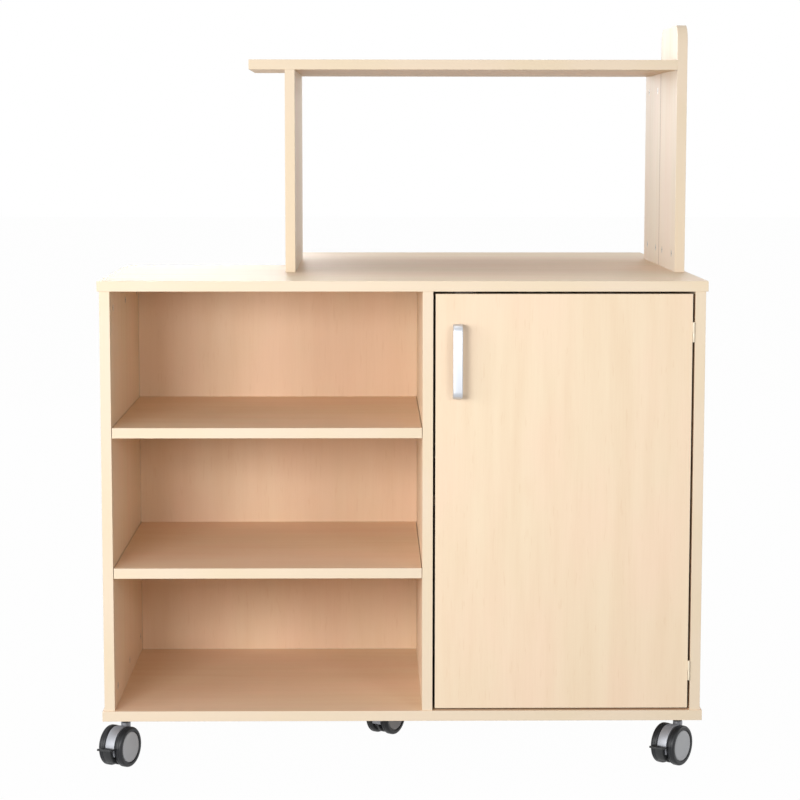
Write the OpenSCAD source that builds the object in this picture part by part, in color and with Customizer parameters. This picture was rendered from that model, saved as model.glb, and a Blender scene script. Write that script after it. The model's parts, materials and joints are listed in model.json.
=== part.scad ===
// Double-sided kitchen cart on castors, in maple-faced board.
// A wide front unit has an open bay and a cupboard, and a narrower rear unit stands against its back.
// A superstructure with a tall end panel stands across the line where the two worktops meet.
// Millimetres, +X to the right and +Y away from the viewer, with the floor at Z = 0.

/* [Boards] */
// Thickness of every maple-faced board
board = 19; // [16:1:22]
// Thickness of the thin back panels
back_thick = 8; // [5:1:10]
// Width of the front unit over its side panels
carcass_w = 1102; // [1000:2:1200]
// Depth of each unit
unit_depth = 530; // [480:5:560]
// Clear height between the bottom board and the worktop
inner_h = 777; // [700:4:820]
// How far the worktop and the bottom board pass the side panels
end_overhang = 4; // [2:1:8]
// How far the front edges of worktop and bottom board stand proud
front_proud = 2; // [0:1:4]
// Gap between the two units
unit_gap = 0.8; // [0.5:0.1:0.9]

/* [Shelves] */
// Clear width of the open bay on the left
bay_w = 568; // [500:4:600]
// Height of the lower shelf's underside above the bottom board
lower_shelf_h = 248.5; // [220:0.5:260]
// Rise from the lower shelf to the upper one
shelf_pitch = 260; // [240:1:270]
// Height of the cupboard shelf's underside above the bottom board
cupboard_shelf_h = 378; // [320:2:420]
// Side play of a loose shelf
shelf_play = 1; // [0.5:0.5:1.5]
// Setback of a shelf from the front edge of the panels
shelf_setback = 1; // [1:1:4]
// Diameter of a shelf pin
pin_d = 5; // [4:1:6]
// How far a shelf pin goes into the panel
pin_in = 8; // [6:1:8]
// How far a shelf pin stands out of the panel
pin_out = 9; // [7:1:10]
// Distance from a unit's open edge to the middle of a shelf pin
pin_front = 60; // [50:5:80]
// Distance from a unit's joint with the other to the middle of a shelf pin
pin_rear = 70; // [60:5:90]
// Clearance between the door and the cupboard shelf
cupboard_setback = 20; // [15:1:60]

/* [Superstructure] */
// Clear height under the upper shelf
opening_h = 388; // [340:1:420]
// Left end of the superstructure, from the middle of the front unit
hutch_left = -223; // [-260:1:-200]
// Setback of the tall panel from the face of the side panel below it
hutch_inset = 2; // [1:1:6]
// Depth of each half of the superstructure
hutch_half = 250; // [200:5:300]
// How far the upper shelf passes the left upright
shelf_reach = 69; // [40:1:90]
// Height of the tall end panel above the upper shelf's underside
tall_rise = 86; // [70:1:120]
// Radius of the tall panel's top corners
tall_round = 32; // [20:1:40]

/* [Door] */
// Gap round the inset door
door_gap = 4.5; // [4:0.5:6]
// Width of the handle
handle_w = 18; // [14:1:22]
// How far the handle stands off the door
handle_reach = 28; // [25:1:32]
// Thickness of the handle's bar
handle_thick = 5.5; // [4:0.5:7]
// Distance between the two handle screws
handle_pitch = 128; // [96:2:160]
// Distance from a handle screw's middle to the outside of its leg
handle_lap = 4; // [4:0.5:6]
// Outer radius of the handle's bends
handle_round = 14; // [9:1:16]
// Diameter of the handle screws and the castor screws
screw_d = 4; // [3.5:0.5:4.5]
// How far a handle screw goes into the handle
screw_bite = 8; // [6:1:12]
// Height of a handle screw's head
screw_head_h = 2.5; // [2:0.1:3]
// Distance from the door's free edge to the middle of the handle
handle_inset = 40; // [30:1:60]
// Distance from the door's top to the middle of the handle
handle_drop = 122.5; // [100:0.5:160]
// Height of a hinge barrel
hinge_h = 36; // [30:2:44]
// Diameter of a hinge barrel
barrel_d = 3.8; // [3.6:0.1:4]
// How far the hinge axis stands out of the front edges
hinge_out = 0.5; // [0.5:0.1:1.5]
// Distance from the door's top or bottom to the middle of a hinge
hinge_inset = 70; // [60:1:100]
// Thickness of a hinge leaf
leaf_thick = 1.2; // [1:0.1:1.3]
// How deep a hinge leaf reaches behind the front edges
leaf_depth = 17; // [12:1:18]
// Diameter of a hinge pin
hinge_pin_d = 2; // [1.8:0.1:2.2]
// Height of a hinge pin's head
hinge_head_h = 0.8; // [0.5:0.1:1.5]
// Clearance between a knuckle and the pieces beside it
knuckle_play = 0.2; // [0.1:0.05:0.3]
// Distance from the door's free edge to the magnetic catch
catch_inset = 30; // [20:1:60]
// Width of the magnetic catch
catch_w = 44; // [36:1:50]
// Depth of the magnetic catch
catch_depth = 13; // [11:1:16]
// Height of the magnetic catch
catch_h = 12; // [10:1:14]
// Gap between the magnetic catch and its plate
catch_gap = 0.4; // [0.2:0.1:0.8]
// Width of the catch's plate
strike_w = 30; // [20:1:34]
// Height of the catch's plate
strike_h = 9; // [7:1:12]
// Thickness of the catch's plate
strike_thick = 1.2; // [1:0.1:1.6]
// Distance from the door's top to the catch's plate
strike_drop = 1; // [1:0.5:3]

/* [Castors] */
// Height of a castor from the floor to the bottom board
castor_h = 93; // [90:1:100]
// Diameter of a castor wheel
wheel_d = 75; // [70:1:75]
// Width of one tyre
wheel_w = 14.5; // [13.5:0.5:17]
// Distance between the middles of the twin wheels
wheel_pitch = 34.5; // [33:0.5:36]
// Radius of a tyre's shoulders
tyre_round = 4; // [3:0.5:5]
// Depth of the tyre outside the grey cap
tread_depth = 9; // [8:0.5:12]
// How far the cap's face lies inside the tyre's side
cap_sunk = 0.8; // [0.5:0.1:1.5]
// Slope round the cap's face
cap_slope = 1.2; // [0.8:0.1:2]
// Distance from the swivel axis to the wheels' axle
castor_trail = 21; // [18:1:22]
// Diameter of the axle
axle_d = 8; // [6:1:10]
// How far the axle goes into a wheel
axle_in = 10; // [8:1:12]
// Distance from the board's underside to the top of the hood
hood_drop = 11; // [10:0.5:13]
// Gap between the hood and a wheel
hood_play = 0.5; // [0.4:0.1:1]
// Distance from the tyres' tread to the hood's outside
hood_sunk = 0.5; // [0.5:0.5:3]
// Thickness of the hood's band
hood_thick = 4.5; // [3:0.5:6]
// Angle from the rear at which the hood's band starts
hood_start = 56; // [50:1:65]
// Angle from the rear at which the hood's band ends
hood_end = 201; // [195:1:205]
// Thickness of the web inside the hood
web_w = 5; // [3:0.5:5]
// Distance from the tyres' tread to the web's rim
web_sunk = 2.5; // [2:0.5:6]
// Diameter of the collar between plate and hood
collar_d = 18; // [16:1:20]
// Height of the collar's lower half, on the hood
collar_h = 4; // [3:0.5:5]
// Gap between the two halves of the collar
race_gap = 0.4; // [0.2:0.1:0.6]
// Diameter of a kingpin
kingpin_d = 8; // [7:0.5:10]
// How far a kingpin goes into the hood
kingpin_in = 22; // [18:1:24]
// End play of a kingpin
kingpin_play = 0.5; // [0.3:0.1:1]
// Thickness of the hood under the kingpin
boss_floor = 2; // [1.5:0.5:3]
// Width of a castor's square plate
plate_w = 55; // [50:1:60]
// Thickness of a castor's plate
plate_thick = 2; // [1.5:0.5:3]
// Distance from a plate's middle lines to its screws
plate_hole = 21; // [18:1:23]
// How far a castor screw goes into the board
castor_screw_in = 12; // [10:1:14]
// Height of a castor screw's head
castor_head_h = 2.2; // [2:0.1:3]
// Angle to which the front left castor is turned at rest
left_turn = -26; // [-40:1:-20]
// Angle to which the front right castor is turned at rest
right_turn = -38; // [-40:1:-20]
// Distance from a board's end to a castor's swivel axis
castor_inset = 37; // [35:1:50]
// Distance from a unit's front or rear edge to a castor's swivel axis
castor_setback = 55; // [45:1:70]
// Width of the brake pedal
pedal_w = 29; // [26:0.5:36]
// How far the pedal's lip stands out from the tyres
pedal_lip = 20.5; // [12:0.5:22]
// Gap between the tyres and the pedal
pedal_play = 1.3; // [1:0.1:2]
// Thickness of the pedal's apron
pedal_thick = 2.2; // [1.8:0.1:3]
// Width of the pedal's apron, under the lip
apron_w = 11; // [10:0.5:17]
// Angle from the rear at which the lip starts
lip_angle = 172; // [165:1:178]
// Angle that the lip takes up
lip_arc = 4; // [3:0.5:6]
// Angle that the apron takes up below the hood's end
apron_arc = 17; // [12:1:20]
// Angle between the hood's end and the pedal's cheeks
cheek_gap = 3; // [2:0.5:4]
// Angle that the pedal's cheeks take up
cheek_arc = 18; // [16:1:22]
// How far the cheeks pass the pedal's pin, towards the axle
cheek_lap = 4; // [3.5:0.5:5]
// Gap between a cheek and the web
cheek_play = 0.5; // [0.3:0.1:1]
// Diameter of the pedal's pin
pedal_pin_d = 4; // [3:0.5:5]
// Distance from the axle to the pedal's pin
pedal_pin_r = 22; // [20:1:24]
// Angle from the rear of the pedal's pin
pedal_pin_angle = 215; // [212:1:218]
// Swivel axis of the middle castor, from the middle of the front unit
mid_castor_x = -18; // [-60:1:60]
// Swivel axis of the middle castor, from the front edge
mid_castor_y = 288; // [240:1:300]

/* [Fittings] */
// Diameter of a cam lock
cam_d = 15; // [12:1:15]
// Distance from a panel's end to the middle of a cam lock
cam_inset = 34; // [30:1:36]
// Thickness of board left behind a cam lock
cam_floor = 6; // [3:0.5:7]
// Distance from a unit's open edge to its first cam lock
cam_front = 60; // [50:5:80]
// How far the middle cam lock lies behind a unit's middle
cam_middle = 10; // [0:1:20]
// Distance from a unit's joint with the other to its last cam lock
cam_rear = 40; // [30:1:60]
// Distance from an upright's open edge to its cam lock
hutch_cam_front = 55; // [45:1:70]
// Distance from the units' joint to an upright's cam lock
hutch_cam_rear = 50; // [40:1:60]
// Diameter of a cam bolt
bolt_d = 6; // [5:1:6]
// How far a cam bolt is screwed into the board that it pulls in
bolt_grip = 11; // [9:1:11]
// How far a cam bolt passes the middle of its cam lock
bolt_past = 2; // [1:0.5:3]
// Radial play of a bolt in a board
bolt_play = 0.2; // [0.1:0.05:0.4]
// Diameter of the bolts between the units
unit_bolt_d = 6; // [5:1:8]
// Diameter of their heads
unit_head_d = 14; // [12:1:18]
// Height of their heads
unit_head_h = 3; // [2:0.5:4]
// Distance from those bolts to the cupboard's sides
unit_bolt_side = 70; // [50:5:100]
// Distance from those bolts to the worktop and the bottom board
unit_bolt_end = 90; // [60:5:120]
// Radial play of a pin or axle that turns
running_play = 0.05; // [0.02:0.01:0.08]

/* [Hidden] */
$fn = 48;

// Heights of the main boards
base_z = castor_h;
floor_z = base_z + board;
ceiling_z = floor_z + inner_h;
worktop_z = ceiling_z + board;
shelf_under_z = worktop_z + opening_h;
shelf_top_z = shelf_under_z + board;
tall_top_z = shelf_under_z + tall_rise;

// Places across the width, from the middle of the front unit
side_x = carcass_w / 2;
inner_x = side_x - board;
top_x = side_x + end_overhang;
divider_x = bay_w - inner_x;
rear_inner_x = hutch_left + board;
tall_x = side_x - hutch_inset - board;
rear_left_x = hutch_left - end_overhang;

// Places along the depth, from the front edges of the side panels
rear_y = unit_depth + unit_gap;
rear_end_y = rear_y + unit_depth;
hutch_y = unit_depth - hutch_half;
hutch_end_y = rear_y + hutch_half;
back_y = unit_depth - back_thick;

// The origin lies on the floor under the middle of the whole cart's box
wheel_r = wheel_d / 2;
pedal_r = wheel_r + pedal_play;
lip_end = lip_angle + lip_arc;
pedal_out = castor_trail + (wheel_r + pedal_lip) * cos(180 - lip_end);
tyre_left = (castor_trail + wheel_r - tyre_round) * sin(-left_turn)
    + ((wheel_pitch + wheel_w) / 2 - tyre_round) * cos(left_turn) + tyre_round;
pedal_left = pedal_out * sin(-left_turn) + pedal_w / 2 * cos(left_turn);
left_reach = max(top_x, top_x - castor_inset + max(tyre_left, pedal_left));
front_reach = max(handle_reach, pedal_reach(left_turn), pedal_reach(right_turn));
middle_x = (top_x - left_reach) / 2;
middle_y = (rear_end_y + front_proud - front_reach) / 2;

// How far a pedal reaches past the front edges, for a castor's turn
function pedal_reach(turn) = pedal_out * cos(turn) + pedal_w / 2 * sin(-turn) - castor_setback;

// How far a cutting shape passes the face that it cuts
cut = 1;

// Cam locks and their bolts: a site is face x, way into the board, y, z and way of the bolt
cam_depth = board - cam_floor;
bolt_way_d = bolt_d + 2 * bolt_play;
bolt_len = bolt_past + cam_inset + bolt_grip;
front_cam_y = [cam_front, unit_depth / 2 + cam_middle, unit_depth - cam_rear];
rear_cam_y = [for (y = front_cam_y) unit_depth + rear_y - y];
hutch_cam_y = [hutch_y + hutch_cam_front, unit_depth - hutch_cam_rear];
hutch_rear_cam_y = [for (y = hutch_cam_y) unit_depth + rear_y - y];
low_unit = [floor_z, ceiling_z];
high_unit = [worktop_z, shelf_under_z];

function cam_sites(x, into, ys, span) = [for (y = ys, up = [-1, 1])
    [x, into, y, (up < 0 ? span[0] + cam_inset : span[1] - cam_inset), up]];

left_side_cams = cam_sites(-inner_x, -1, front_cam_y, low_unit);
right_side_cams = cam_sites(inner_x, 1, front_cam_y, low_unit);
divider_cams = cam_sites(divider_x + board, -1, front_cam_y, low_unit);
rear_left_cams = cam_sites(rear_inner_x, -1, rear_cam_y, low_unit);
rear_right_cams = cam_sites(inner_x, 1, rear_cam_y, low_unit);
left_upright_cams = cam_sites(rear_inner_x, -1, hutch_cam_y, high_unit);
left_rear_cams = cam_sites(rear_inner_x, -1, hutch_rear_cam_y, high_unit);
right_rear_cams = cam_sites(tall_x, 1, hutch_rear_cam_y, high_unit);
tall_cams = [for (s = cam_sites(tall_x, 1, hutch_cam_y, high_unit)) if (s[4] < 0) s];
front_cams = concat(left_side_cams, right_side_cams, divider_cams);
rear_cams = concat(rear_left_cams, rear_right_cams);
upright_cams = concat(left_upright_cams, left_rear_cams, right_rear_cams, tall_cams);
all_cams = concat(front_cams, rear_cams, upright_cams);

// Shelf pins: a site is face x, way out of the panel, y and z
pin_y = [pin_front, unit_depth - pin_rear];
rear_pin_y = [for (y = pin_y) unit_depth + rear_y - y];
lower_z = floor_z + lower_shelf_h;
upper_z = lower_z + shelf_pitch;
cupboard_z = floor_z + cupboard_shelf_h;

function pin_sites(x0, x1, ys, z) = [for (y = ys) each [[x0, 1, y, z], [x1, -1, y, z]]];

lower_pins = pin_sites(-inner_x, divider_x, pin_y, lower_z + board / 2);
upper_pins = pin_sites(-inner_x, divider_x, pin_y, upper_z + board / 2);
cupboard_pins = pin_sites(divider_x + board, inner_x, pin_y, cupboard_z - pin_d / 2);
rear_lower_pins = pin_sites(rear_inner_x, inner_x, rear_pin_y, lower_z - pin_d / 2);
rear_upper_pins = pin_sites(rear_inner_x, inner_x, rear_pin_y, upper_z - pin_d / 2);
all_pins = concat(lower_pins, upper_pins, cupboard_pins, rear_lower_pins, rear_upper_pins);

// Bolts that hold the two units together, through both back panels
unit_bolt_x = [divider_x + board + unit_bolt_side, inner_x - unit_bolt_side];
unit_bolt_z = [floor_z + unit_bolt_end, ceiling_z - unit_bolt_end];

// Door, hinges and handle
door_x = [divider_x + board + door_gap, inner_x - door_gap];
door_z = [floor_z + door_gap, ceiling_z - door_gap];
hinge_x = inner_x - door_gap / 2;
hinge_y = -hinge_out;
hinge_z = [door_z[0] + hinge_inset, door_z[1] - hinge_inset];
leaf_y = hinge_y + barrel_d / 2 + knuckle_play;
handle_x = door_x[0] + handle_inset;
handle_z = door_z[1] - handle_drop;
handle_len = handle_pitch + 2 * handle_lap;
catch_x = door_x[0] + catch_inset;
catch_y = board + strike_thick + catch_gap;
head_d = 2 * screw_d;

// Castors: hood, wheels and pedal share the wheels' axle
hub_r = wheel_r - tread_depth;
wheel_in = (wheel_pitch - wheel_w) / 2;
hood_w = 2 * (wheel_in - hood_play);
hood_r = wheel_r - hood_sunk;
cap_edge = wheel_w - cap_sunk - cap_slope;
plate_z = base_z - plate_thick;
hood_top = castor_h - hood_drop;
castor_at = [
    [castor_inset - top_x, castor_setback],
    [top_x - castor_inset, castor_setback],
    [mid_castor_x, mid_castor_y],
    [castor_inset - top_x, unit_depth - castor_setback],
    [top_x - castor_inset, unit_depth - castor_setback],
    [rear_left_x + castor_inset, rear_end_y - castor_setback],
    [top_x - castor_inset, rear_end_y - castor_setback]];
castor_turns = [left_turn, right_turn, (left_turn + right_turn) / 2,
    left_turn, right_turn, right_turn, left_turn];

maple = [0.94, 0.84, 0.71];
steel = [0.72, 0.73, 0.75];
dark = [0.2, 0.21, 0.22];
cap_grey = [0.6, 0.61, 0.62];
cream = [0.95, 0.9, 0.8];

// Moves a piece from the front unit's own axes to the part's origin
module in_place() {
    translate([-middle_x, -middle_y, 0]) children();
}

// A box from ranges along X, Y and Z
module slab(x, y, z) {
    translate([x[0], y[0], z[0]]) cube([x[1] - x[0], y[1] - y[0], z[1] - z[0]]);
}

// A rod along Z that starts at a point and runs up or down
module rod_z(at, d, length, up) {
    translate([at[0], at[1], up > 0 ? at[2] : at[2] - length]) cylinder(d = d, h = length);
}

// A rod along X that starts at a point and runs right or left
module rod_x(at, d, length, right) {
    translate([right > 0 ? at[0] : at[0] - length, at[1], at[2]])
        rotate([0, 90, 0]) cylinder(d = d, h = length);
}

// A rod along Y that starts at a point and runs back
module rod_y(at, d, length) {
    translate(at) rotate([-90, 0, 0]) cylinder(d = d, h = length);
}

// The middle of the board's thickness at a cam site, at a height along the bolt
function bolt_point(s, along) = [s[0] + s[1] * board / 2, s[2], s[3] + s[4] * along];

// Pockets for cam locks, and the ways of their bolts to the board's end
module cam_pockets(sites) {
    for (s = sites) {
        rod_x([s[0] - s[1] * cut, s[2], s[3]], cam_d, cam_depth + cut, s[1]);
        rod_z(bolt_point(s, 0), bolt_way_d, cam_inset + cut, s[4]);
    }
}

// Holes in a worktop, bottom board or shelf for the cam bolts that come out of panels
module bolt_holes(sites) {
    for (s = sites) rod_z(bolt_point(s, cam_inset - cut), bolt_d, bolt_grip + cut, s[4]);
}

// Holes for shelf pins in a panel
module pin_holes(sites) {
    for (p = sites) rod_x([p[0] + p[1] * cut, p[2], p[3]], pin_d, pin_in + cut, -p[1]);
}

// Holes for concealed pins in the ends of a shelf
module shelf_end_holes(sites) {
    for (p = sites) rod_x([p[0], p[2], p[3]], pin_d, pin_out + cut, p[1]);
}

// The sites whose bolts run one way
function bolts_going(sites, up) = [for (s = sites) if (s[4] == up) s];

// Front worktop, over the bay and the cupboard
module front_worktop() {
    color(maple) in_place() difference() {
        slab([-top_x, top_x], [-front_proud, unit_depth], [ceiling_z, worktop_z]);
        bolt_holes(bolts_going(front_cams, 1));
        bolt_holes(bolts_going(concat(left_upright_cams, tall_cams), -1));
    }
}

// Bottom board of the front unit, with pilot holes for the castor screws
module front_bottom_board() {
    color(maple) in_place() difference() {
        slab([-top_x, top_x], [-front_proud, unit_depth], [base_z, floor_z]);
        bolt_holes(bolts_going(front_cams, -1));
        castor_screw_holes([0, 1, 2, 3, 4]);
    }
}

// Left side panel
module left_side_panel() {
    color(maple) in_place() difference() {
        slab([-side_x, -inner_x], [0, unit_depth], low_unit);
        cam_pockets(left_side_cams);
        pin_holes([for (p = concat(lower_pins, upper_pins)) if (p[1] > 0) p]);
    }
}

// Right side panel, which carries the hinges
module right_side_panel() {
    color(maple) in_place() difference() {
        slab([inner_x, side_x], [0, unit_depth], low_unit);
        cam_pockets(right_side_cams);
        pin_holes([for (p = cupboard_pins) if (p[1] < 0) p]);
    }
}

// Divider between the open bay and the cupboard
module divider_panel() {
    color(maple) in_place() difference() {
        slab([divider_x, divider_x + board], [0, back_y], low_unit);
        cam_pockets(divider_cams);
        pin_holes([for (p = concat(lower_pins, upper_pins)) if (p[1] < 0) p]);
        pin_holes([for (p = cupboard_pins) if (p[1] > 0) p]);
    }
}

// Back panel of the front unit
module front_back_panel() {
    color(maple) in_place() difference() {
        slab([-inner_x, inner_x], [back_y, unit_depth], low_unit);
        unit_bolt_holes();
    }
}

// A shelf of the open bay, on concealed pins
module bay_shelf(z, pins) {
    color(maple) in_place() difference() {
        slab([-inner_x + shelf_play, divider_x - shelf_play], [shelf_setback, back_y], [z, z + board]);
        shelf_end_holes(pins);
    }
}

module upper_bay_shelf() bay_shelf(upper_z, upper_pins);

module lower_bay_shelf() bay_shelf(lower_z, lower_pins);

// Loose shelf in the cupboard, resting on four pins
module cupboard_shelf() {
    color(maple) in_place()
        slab([divider_x + board + shelf_play, inner_x - shelf_play],
            [board + cupboard_setback, back_y], [cupboard_z, cupboard_z + board]);
}

// Steel pins of all the shelves
module shelf_pins() {
    color(steel) in_place() for (p = all_pins)
        rod_x([p[0] - p[1] * pin_in, p[2], p[3]], pin_d, pin_in + pin_out, p[1]);
}

// Cam locks in panels, and two in the upper shelf that pull it to the tall panel
module cam_locks() {
    color(steel) in_place() {
        for (s = all_cams) difference() {
            rod_x([s[0], s[2], s[3]], cam_d, cam_depth, s[1]);
            rod_z(bolt_point(s, -bolt_past - cut), bolt_way_d, cam_d, s[4]);
        }
        for (y = hutch_cam_y) difference() {
            rod_z([tall_x - cam_inset, y, shelf_under_z], cam_d, cam_depth, 1);
            rod_x([tall_x - cam_inset - bolt_past - cut, y, shelf_under_z + board / 2], bolt_way_d,
                cam_d, 1);
        }
    }
}

// Bolts that the cam locks pull on
module cam_bolts() {
    color(steel) in_place() {
        for (s = all_cams) rod_z(bolt_point(s, -bolt_past), bolt_d, bolt_len, s[4]);
        for (y = hutch_cam_y)
            rod_x([tall_x - cam_inset - bolt_past, y, shelf_under_z + board / 2], bolt_d, bolt_len, 1);
    }
}

// Inset door, flush with the front edges
module door() {
    color(maple) in_place() difference() {
        slab(door_x, [0, board], door_z);
        for (side = [-1, 1])
            rod_y([handle_x, -cut, handle_z + side * handle_pitch / 2], screw_d + 2 * bolt_play,
                board + 2 * cut);
    }
}

// A block on the door, seen from the side: distance off the door, then height, with round corners
module rounded_block(reach, height, r) {
    translate([0, -height / 2]) square([reach - r, height]);
    translate([0, r - height / 2]) square([reach, height - 2 * r]);
    for (side = [-1, 1]) translate([reach - r, side * (height / 2 - r)]) circle(r = r);
}

// Outline of the handle: a flat bar bent at both ends into legs that hold the screws
module handle_outline() {
    difference() {
        rounded_block(handle_reach, handle_len, handle_round);
        translate([-cut, 0])
            rounded_block(handle_reach - handle_thick + cut, handle_pitch - 2 * handle_lap,
                handle_round - handle_thick);
    }
}

// Handle
module handle() {
    color(steel) in_place() difference() {
        translate([handle_x - handle_w / 2, 0, handle_z])
            rotate([90, 0, 90]) mirror([1, 0, 0]) linear_extrude(handle_w) handle_outline();
        for (side = [-1, 1])
            rod_y([handle_x, -screw_bite, handle_z + side * handle_pitch / 2], screw_d,
                screw_bite + cut);
    }
}

// The two screws that hold the handle from inside the door
module handle_screws() {
    color(steel) in_place() for (side = [-1, 1]) {
        rod_y([handle_x, -screw_bite, handle_z + side * handle_pitch / 2], screw_d, screw_bite + board);
        rod_y([handle_x, board, handle_z + side * handle_pitch / 2], head_d, screw_head_h);
    }
}

// One half of a hinge: a leaf in the door gap with a knuckle of half the barrel's height
module hinge_half(z, side, up, play) {
    leaf_x = side > 0 ? inner_x - leaf_thick : inner_x - door_gap;
    knuckle_h = (hinge_h - knuckle_play) / 2;
    knuckle_z = up > 0 ? z + knuckle_play / 2 : z - hinge_h / 2;
    difference() {
        union() {
            slab([leaf_x, leaf_x + leaf_thick], [leaf_y, leaf_depth], [z - hinge_h / 2, z + hinge_h / 2]);
            slab([leaf_x, leaf_x + leaf_thick], [hinge_y, leaf_y], [knuckle_z, knuckle_z + knuckle_h]);
            rod_z([hinge_x, hinge_y, knuckle_z], barrel_d, knuckle_h, 1);
        }
        rod_z([hinge_x, hinge_y, z - hinge_h / 2 - cut], hinge_pin_d + 2 * play, hinge_h + 2 * cut, 1);
    }
}

// Hinge halves on the side panel, with the lower knuckles
module hinge_frame_leaves() {
    color(cream) in_place() for (z = hinge_z) hinge_half(z, 1, -1, 0);
}

// Hinge halves on the door, with the upper knuckles
module hinge_door_leaves() {
    color(cream) in_place() for (z = hinge_z) hinge_half(z, -1, 1, running_play);
}

// Hinge pins, held in the lower knuckles, with a small round head on top
module hinge_pins() {
    color(cream) in_place() for (z = hinge_z) {
        rod_z([hinge_x, hinge_y, z - hinge_h / 2], hinge_pin_d, hinge_h + knuckle_play, 1);
        rod_z([hinge_x, hinge_y, z + hinge_h / 2 + knuckle_play], (hinge_pin_d + barrel_d) / 2,
            hinge_head_h, 1);
    }
}

// Magnetic catch under the worktop, behind the door
module magnet_catch() {
    color(cream) in_place()
        translate([catch_x, catch_y, ceiling_z - catch_h]) cube([catch_w, catch_depth, catch_h]);
}

// Steel plate on the door that the catch pulls
module catch_plate() {
    color(steel) in_place()
        translate([catch_x + (catch_w - strike_w) / 2, board, door_z[1] - strike_drop - strike_h])
            cube([strike_w, strike_thick, strike_h]);
}

// Worktop of the rear unit
module rear_worktop() {
    color(maple) in_place() difference() {
        slab([rear_left_x, top_x], [rear_y, rear_end_y + front_proud], [ceiling_z, worktop_z]);
        bolt_holes(bolts_going(rear_cams, 1));
        bolt_holes(bolts_going(concat(left_rear_cams, right_rear_cams), -1));
    }
}

// Bottom board of the rear unit
module rear_bottom_board() {
    color(maple) in_place() difference() {
        slab([rear_left_x, top_x], [rear_y, rear_end_y + front_proud], [base_z, floor_z]);
        bolt_holes(bolts_going(rear_cams, -1));
        castor_screw_holes([5, 6]);
    }
}

// Left side panel of the rear unit, in line with the left upright
module rear_left_side() {
    color(maple) in_place() difference() {
        slab([hutch_left, rear_inner_x], [rear_y, rear_end_y], low_unit);
        cam_pockets(rear_left_cams);
        pin_holes([for (p = concat(rear_lower_pins, rear_upper_pins)) if (p[1] > 0) p]);
    }
}

// Right side panel of the rear unit, in line with the front one
module rear_right_side() {
    color(maple) in_place() difference() {
        slab([inner_x, side_x], [rear_y, rear_end_y], low_unit);
        cam_pockets(rear_right_cams);
        pin_holes([for (p = concat(rear_lower_pins, rear_upper_pins)) if (p[1] < 0) p]);
    }
}

// Back panel of the rear unit, against the front unit
module rear_back_panel() {
    color(maple) in_place() difference() {
        slab([rear_inner_x, inner_x], [rear_y, rear_y + back_thick], low_unit);
        unit_bolt_holes();
    }
}

// A loose shelf of the rear unit, resting on four pins
module rear_shelf(z) {
    color(maple) in_place()
        slab([rear_inner_x + shelf_play, inner_x - shelf_play],
            [rear_y + back_thick, rear_end_y - shelf_setback], [z, z + board]);
}

module rear_upper_shelf() rear_shelf(upper_z);

module rear_lower_shelf() rear_shelf(lower_z);

// Holes for the bolts between the units
module unit_bolt_holes() {
    for (x = unit_bolt_x, z = unit_bolt_z)
        rod_y([x, back_y - cut, z], unit_bolt_d + 2 * bolt_play, 2 * back_thick + unit_gap + 2 * cut);
}

// Sleeve bolts between the units, with a flat head on each side
module unit_bolts() {
    color(steel) in_place() for (x = unit_bolt_x, z = unit_bolt_z) {
        rod_y([x, back_y, z], unit_bolt_d, 2 * back_thick + unit_gap);
        rod_y([x, back_y - unit_head_h, z], unit_head_d, unit_head_h);
        rod_y([x, rear_y + back_thick, z], unit_head_d, unit_head_h);
    }
}

// An upright under the upper shelf
module upright(x, y, sites) {
    color(maple) in_place() difference() {
        slab([x, x + board], y, high_unit);
        cam_pockets(sites);
    }
}

module left_upright_front() upright(hutch_left, [hutch_y, unit_depth], left_upright_cams);

module left_upright_rear() upright(hutch_left, [rear_y, hutch_end_y], left_rear_cams);

module right_upright_rear() upright(tall_x, [rear_y, hutch_end_y], right_rear_cams);

// Outline of the tall end panel: depth, then height, with rounded top corners
module tall_outline() {
    tall_h = tall_top_z - worktop_z;
    square([hutch_half, tall_h - tall_round]);
    translate([tall_round, 0]) square([hutch_half - 2 * tall_round, tall_h]);
    for (y = [tall_round, hutch_half - tall_round])
        translate([y, tall_h - tall_round]) circle(r = tall_round);
}

// Tall end panel at the right, which the upper shelf butts against
module tall_end_panel() {
    color(maple) in_place() difference() {
        translate([tall_x, hutch_y, worktop_z])
            rotate([90, 0, 90]) linear_extrude(board) tall_outline();
        cam_pockets(tall_cams);
        for (y = hutch_cam_y)
            rod_x([tall_x - cut, y, shelf_under_z + board / 2], bolt_d, bolt_grip + cut, 1);
    }
}

// Front half of the upper shelf, which passes the left upright
module upper_shelf_front() {
    color(maple) in_place() difference() {
        slab([hutch_left - shelf_reach, tall_x], [hutch_y, unit_depth], [shelf_under_z, shelf_top_z]);
        bolt_holes(bolts_going(left_upright_cams, 1));
        for (y = hutch_cam_y) {
            rod_z([tall_x - cam_inset, y, shelf_under_z - cut], cam_d, cam_depth + cut, 1);
            rod_x([tall_x - cam_inset, y, shelf_under_z + board / 2], bolt_way_d, cam_inset + cut, 1);
        }
    }
}

// Rear half of the upper shelf, on top of the rear uprights
module upper_shelf_rear() {
    color(maple) in_place() difference() {
        slab([hutch_left, tall_x + board], [rear_y, hutch_end_y], [shelf_under_z, shelf_top_z]);
        bolt_holes(bolts_going(concat(left_rear_cams, right_rear_cams), 1));
    }
}

// Puts a piece at one castor's swivel axis, turned as the castors stand
module at_castor(i) {
    translate([castor_at[i][0], castor_at[i][1], 0]) rotate([0, 0, castor_turns[i]]) children();
}

// Pilot holes for the screws of some castors
module castor_screw_holes(which) {
    for (i = which) translate([castor_at[i][0], castor_at[i][1], 0])
        for (x = [-1, 1], y = [-1, 1])
            rod_z([x * plate_hole, y * plate_hole, base_z - cut], screw_d, castor_screw_in + cut, 1);
}

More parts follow.
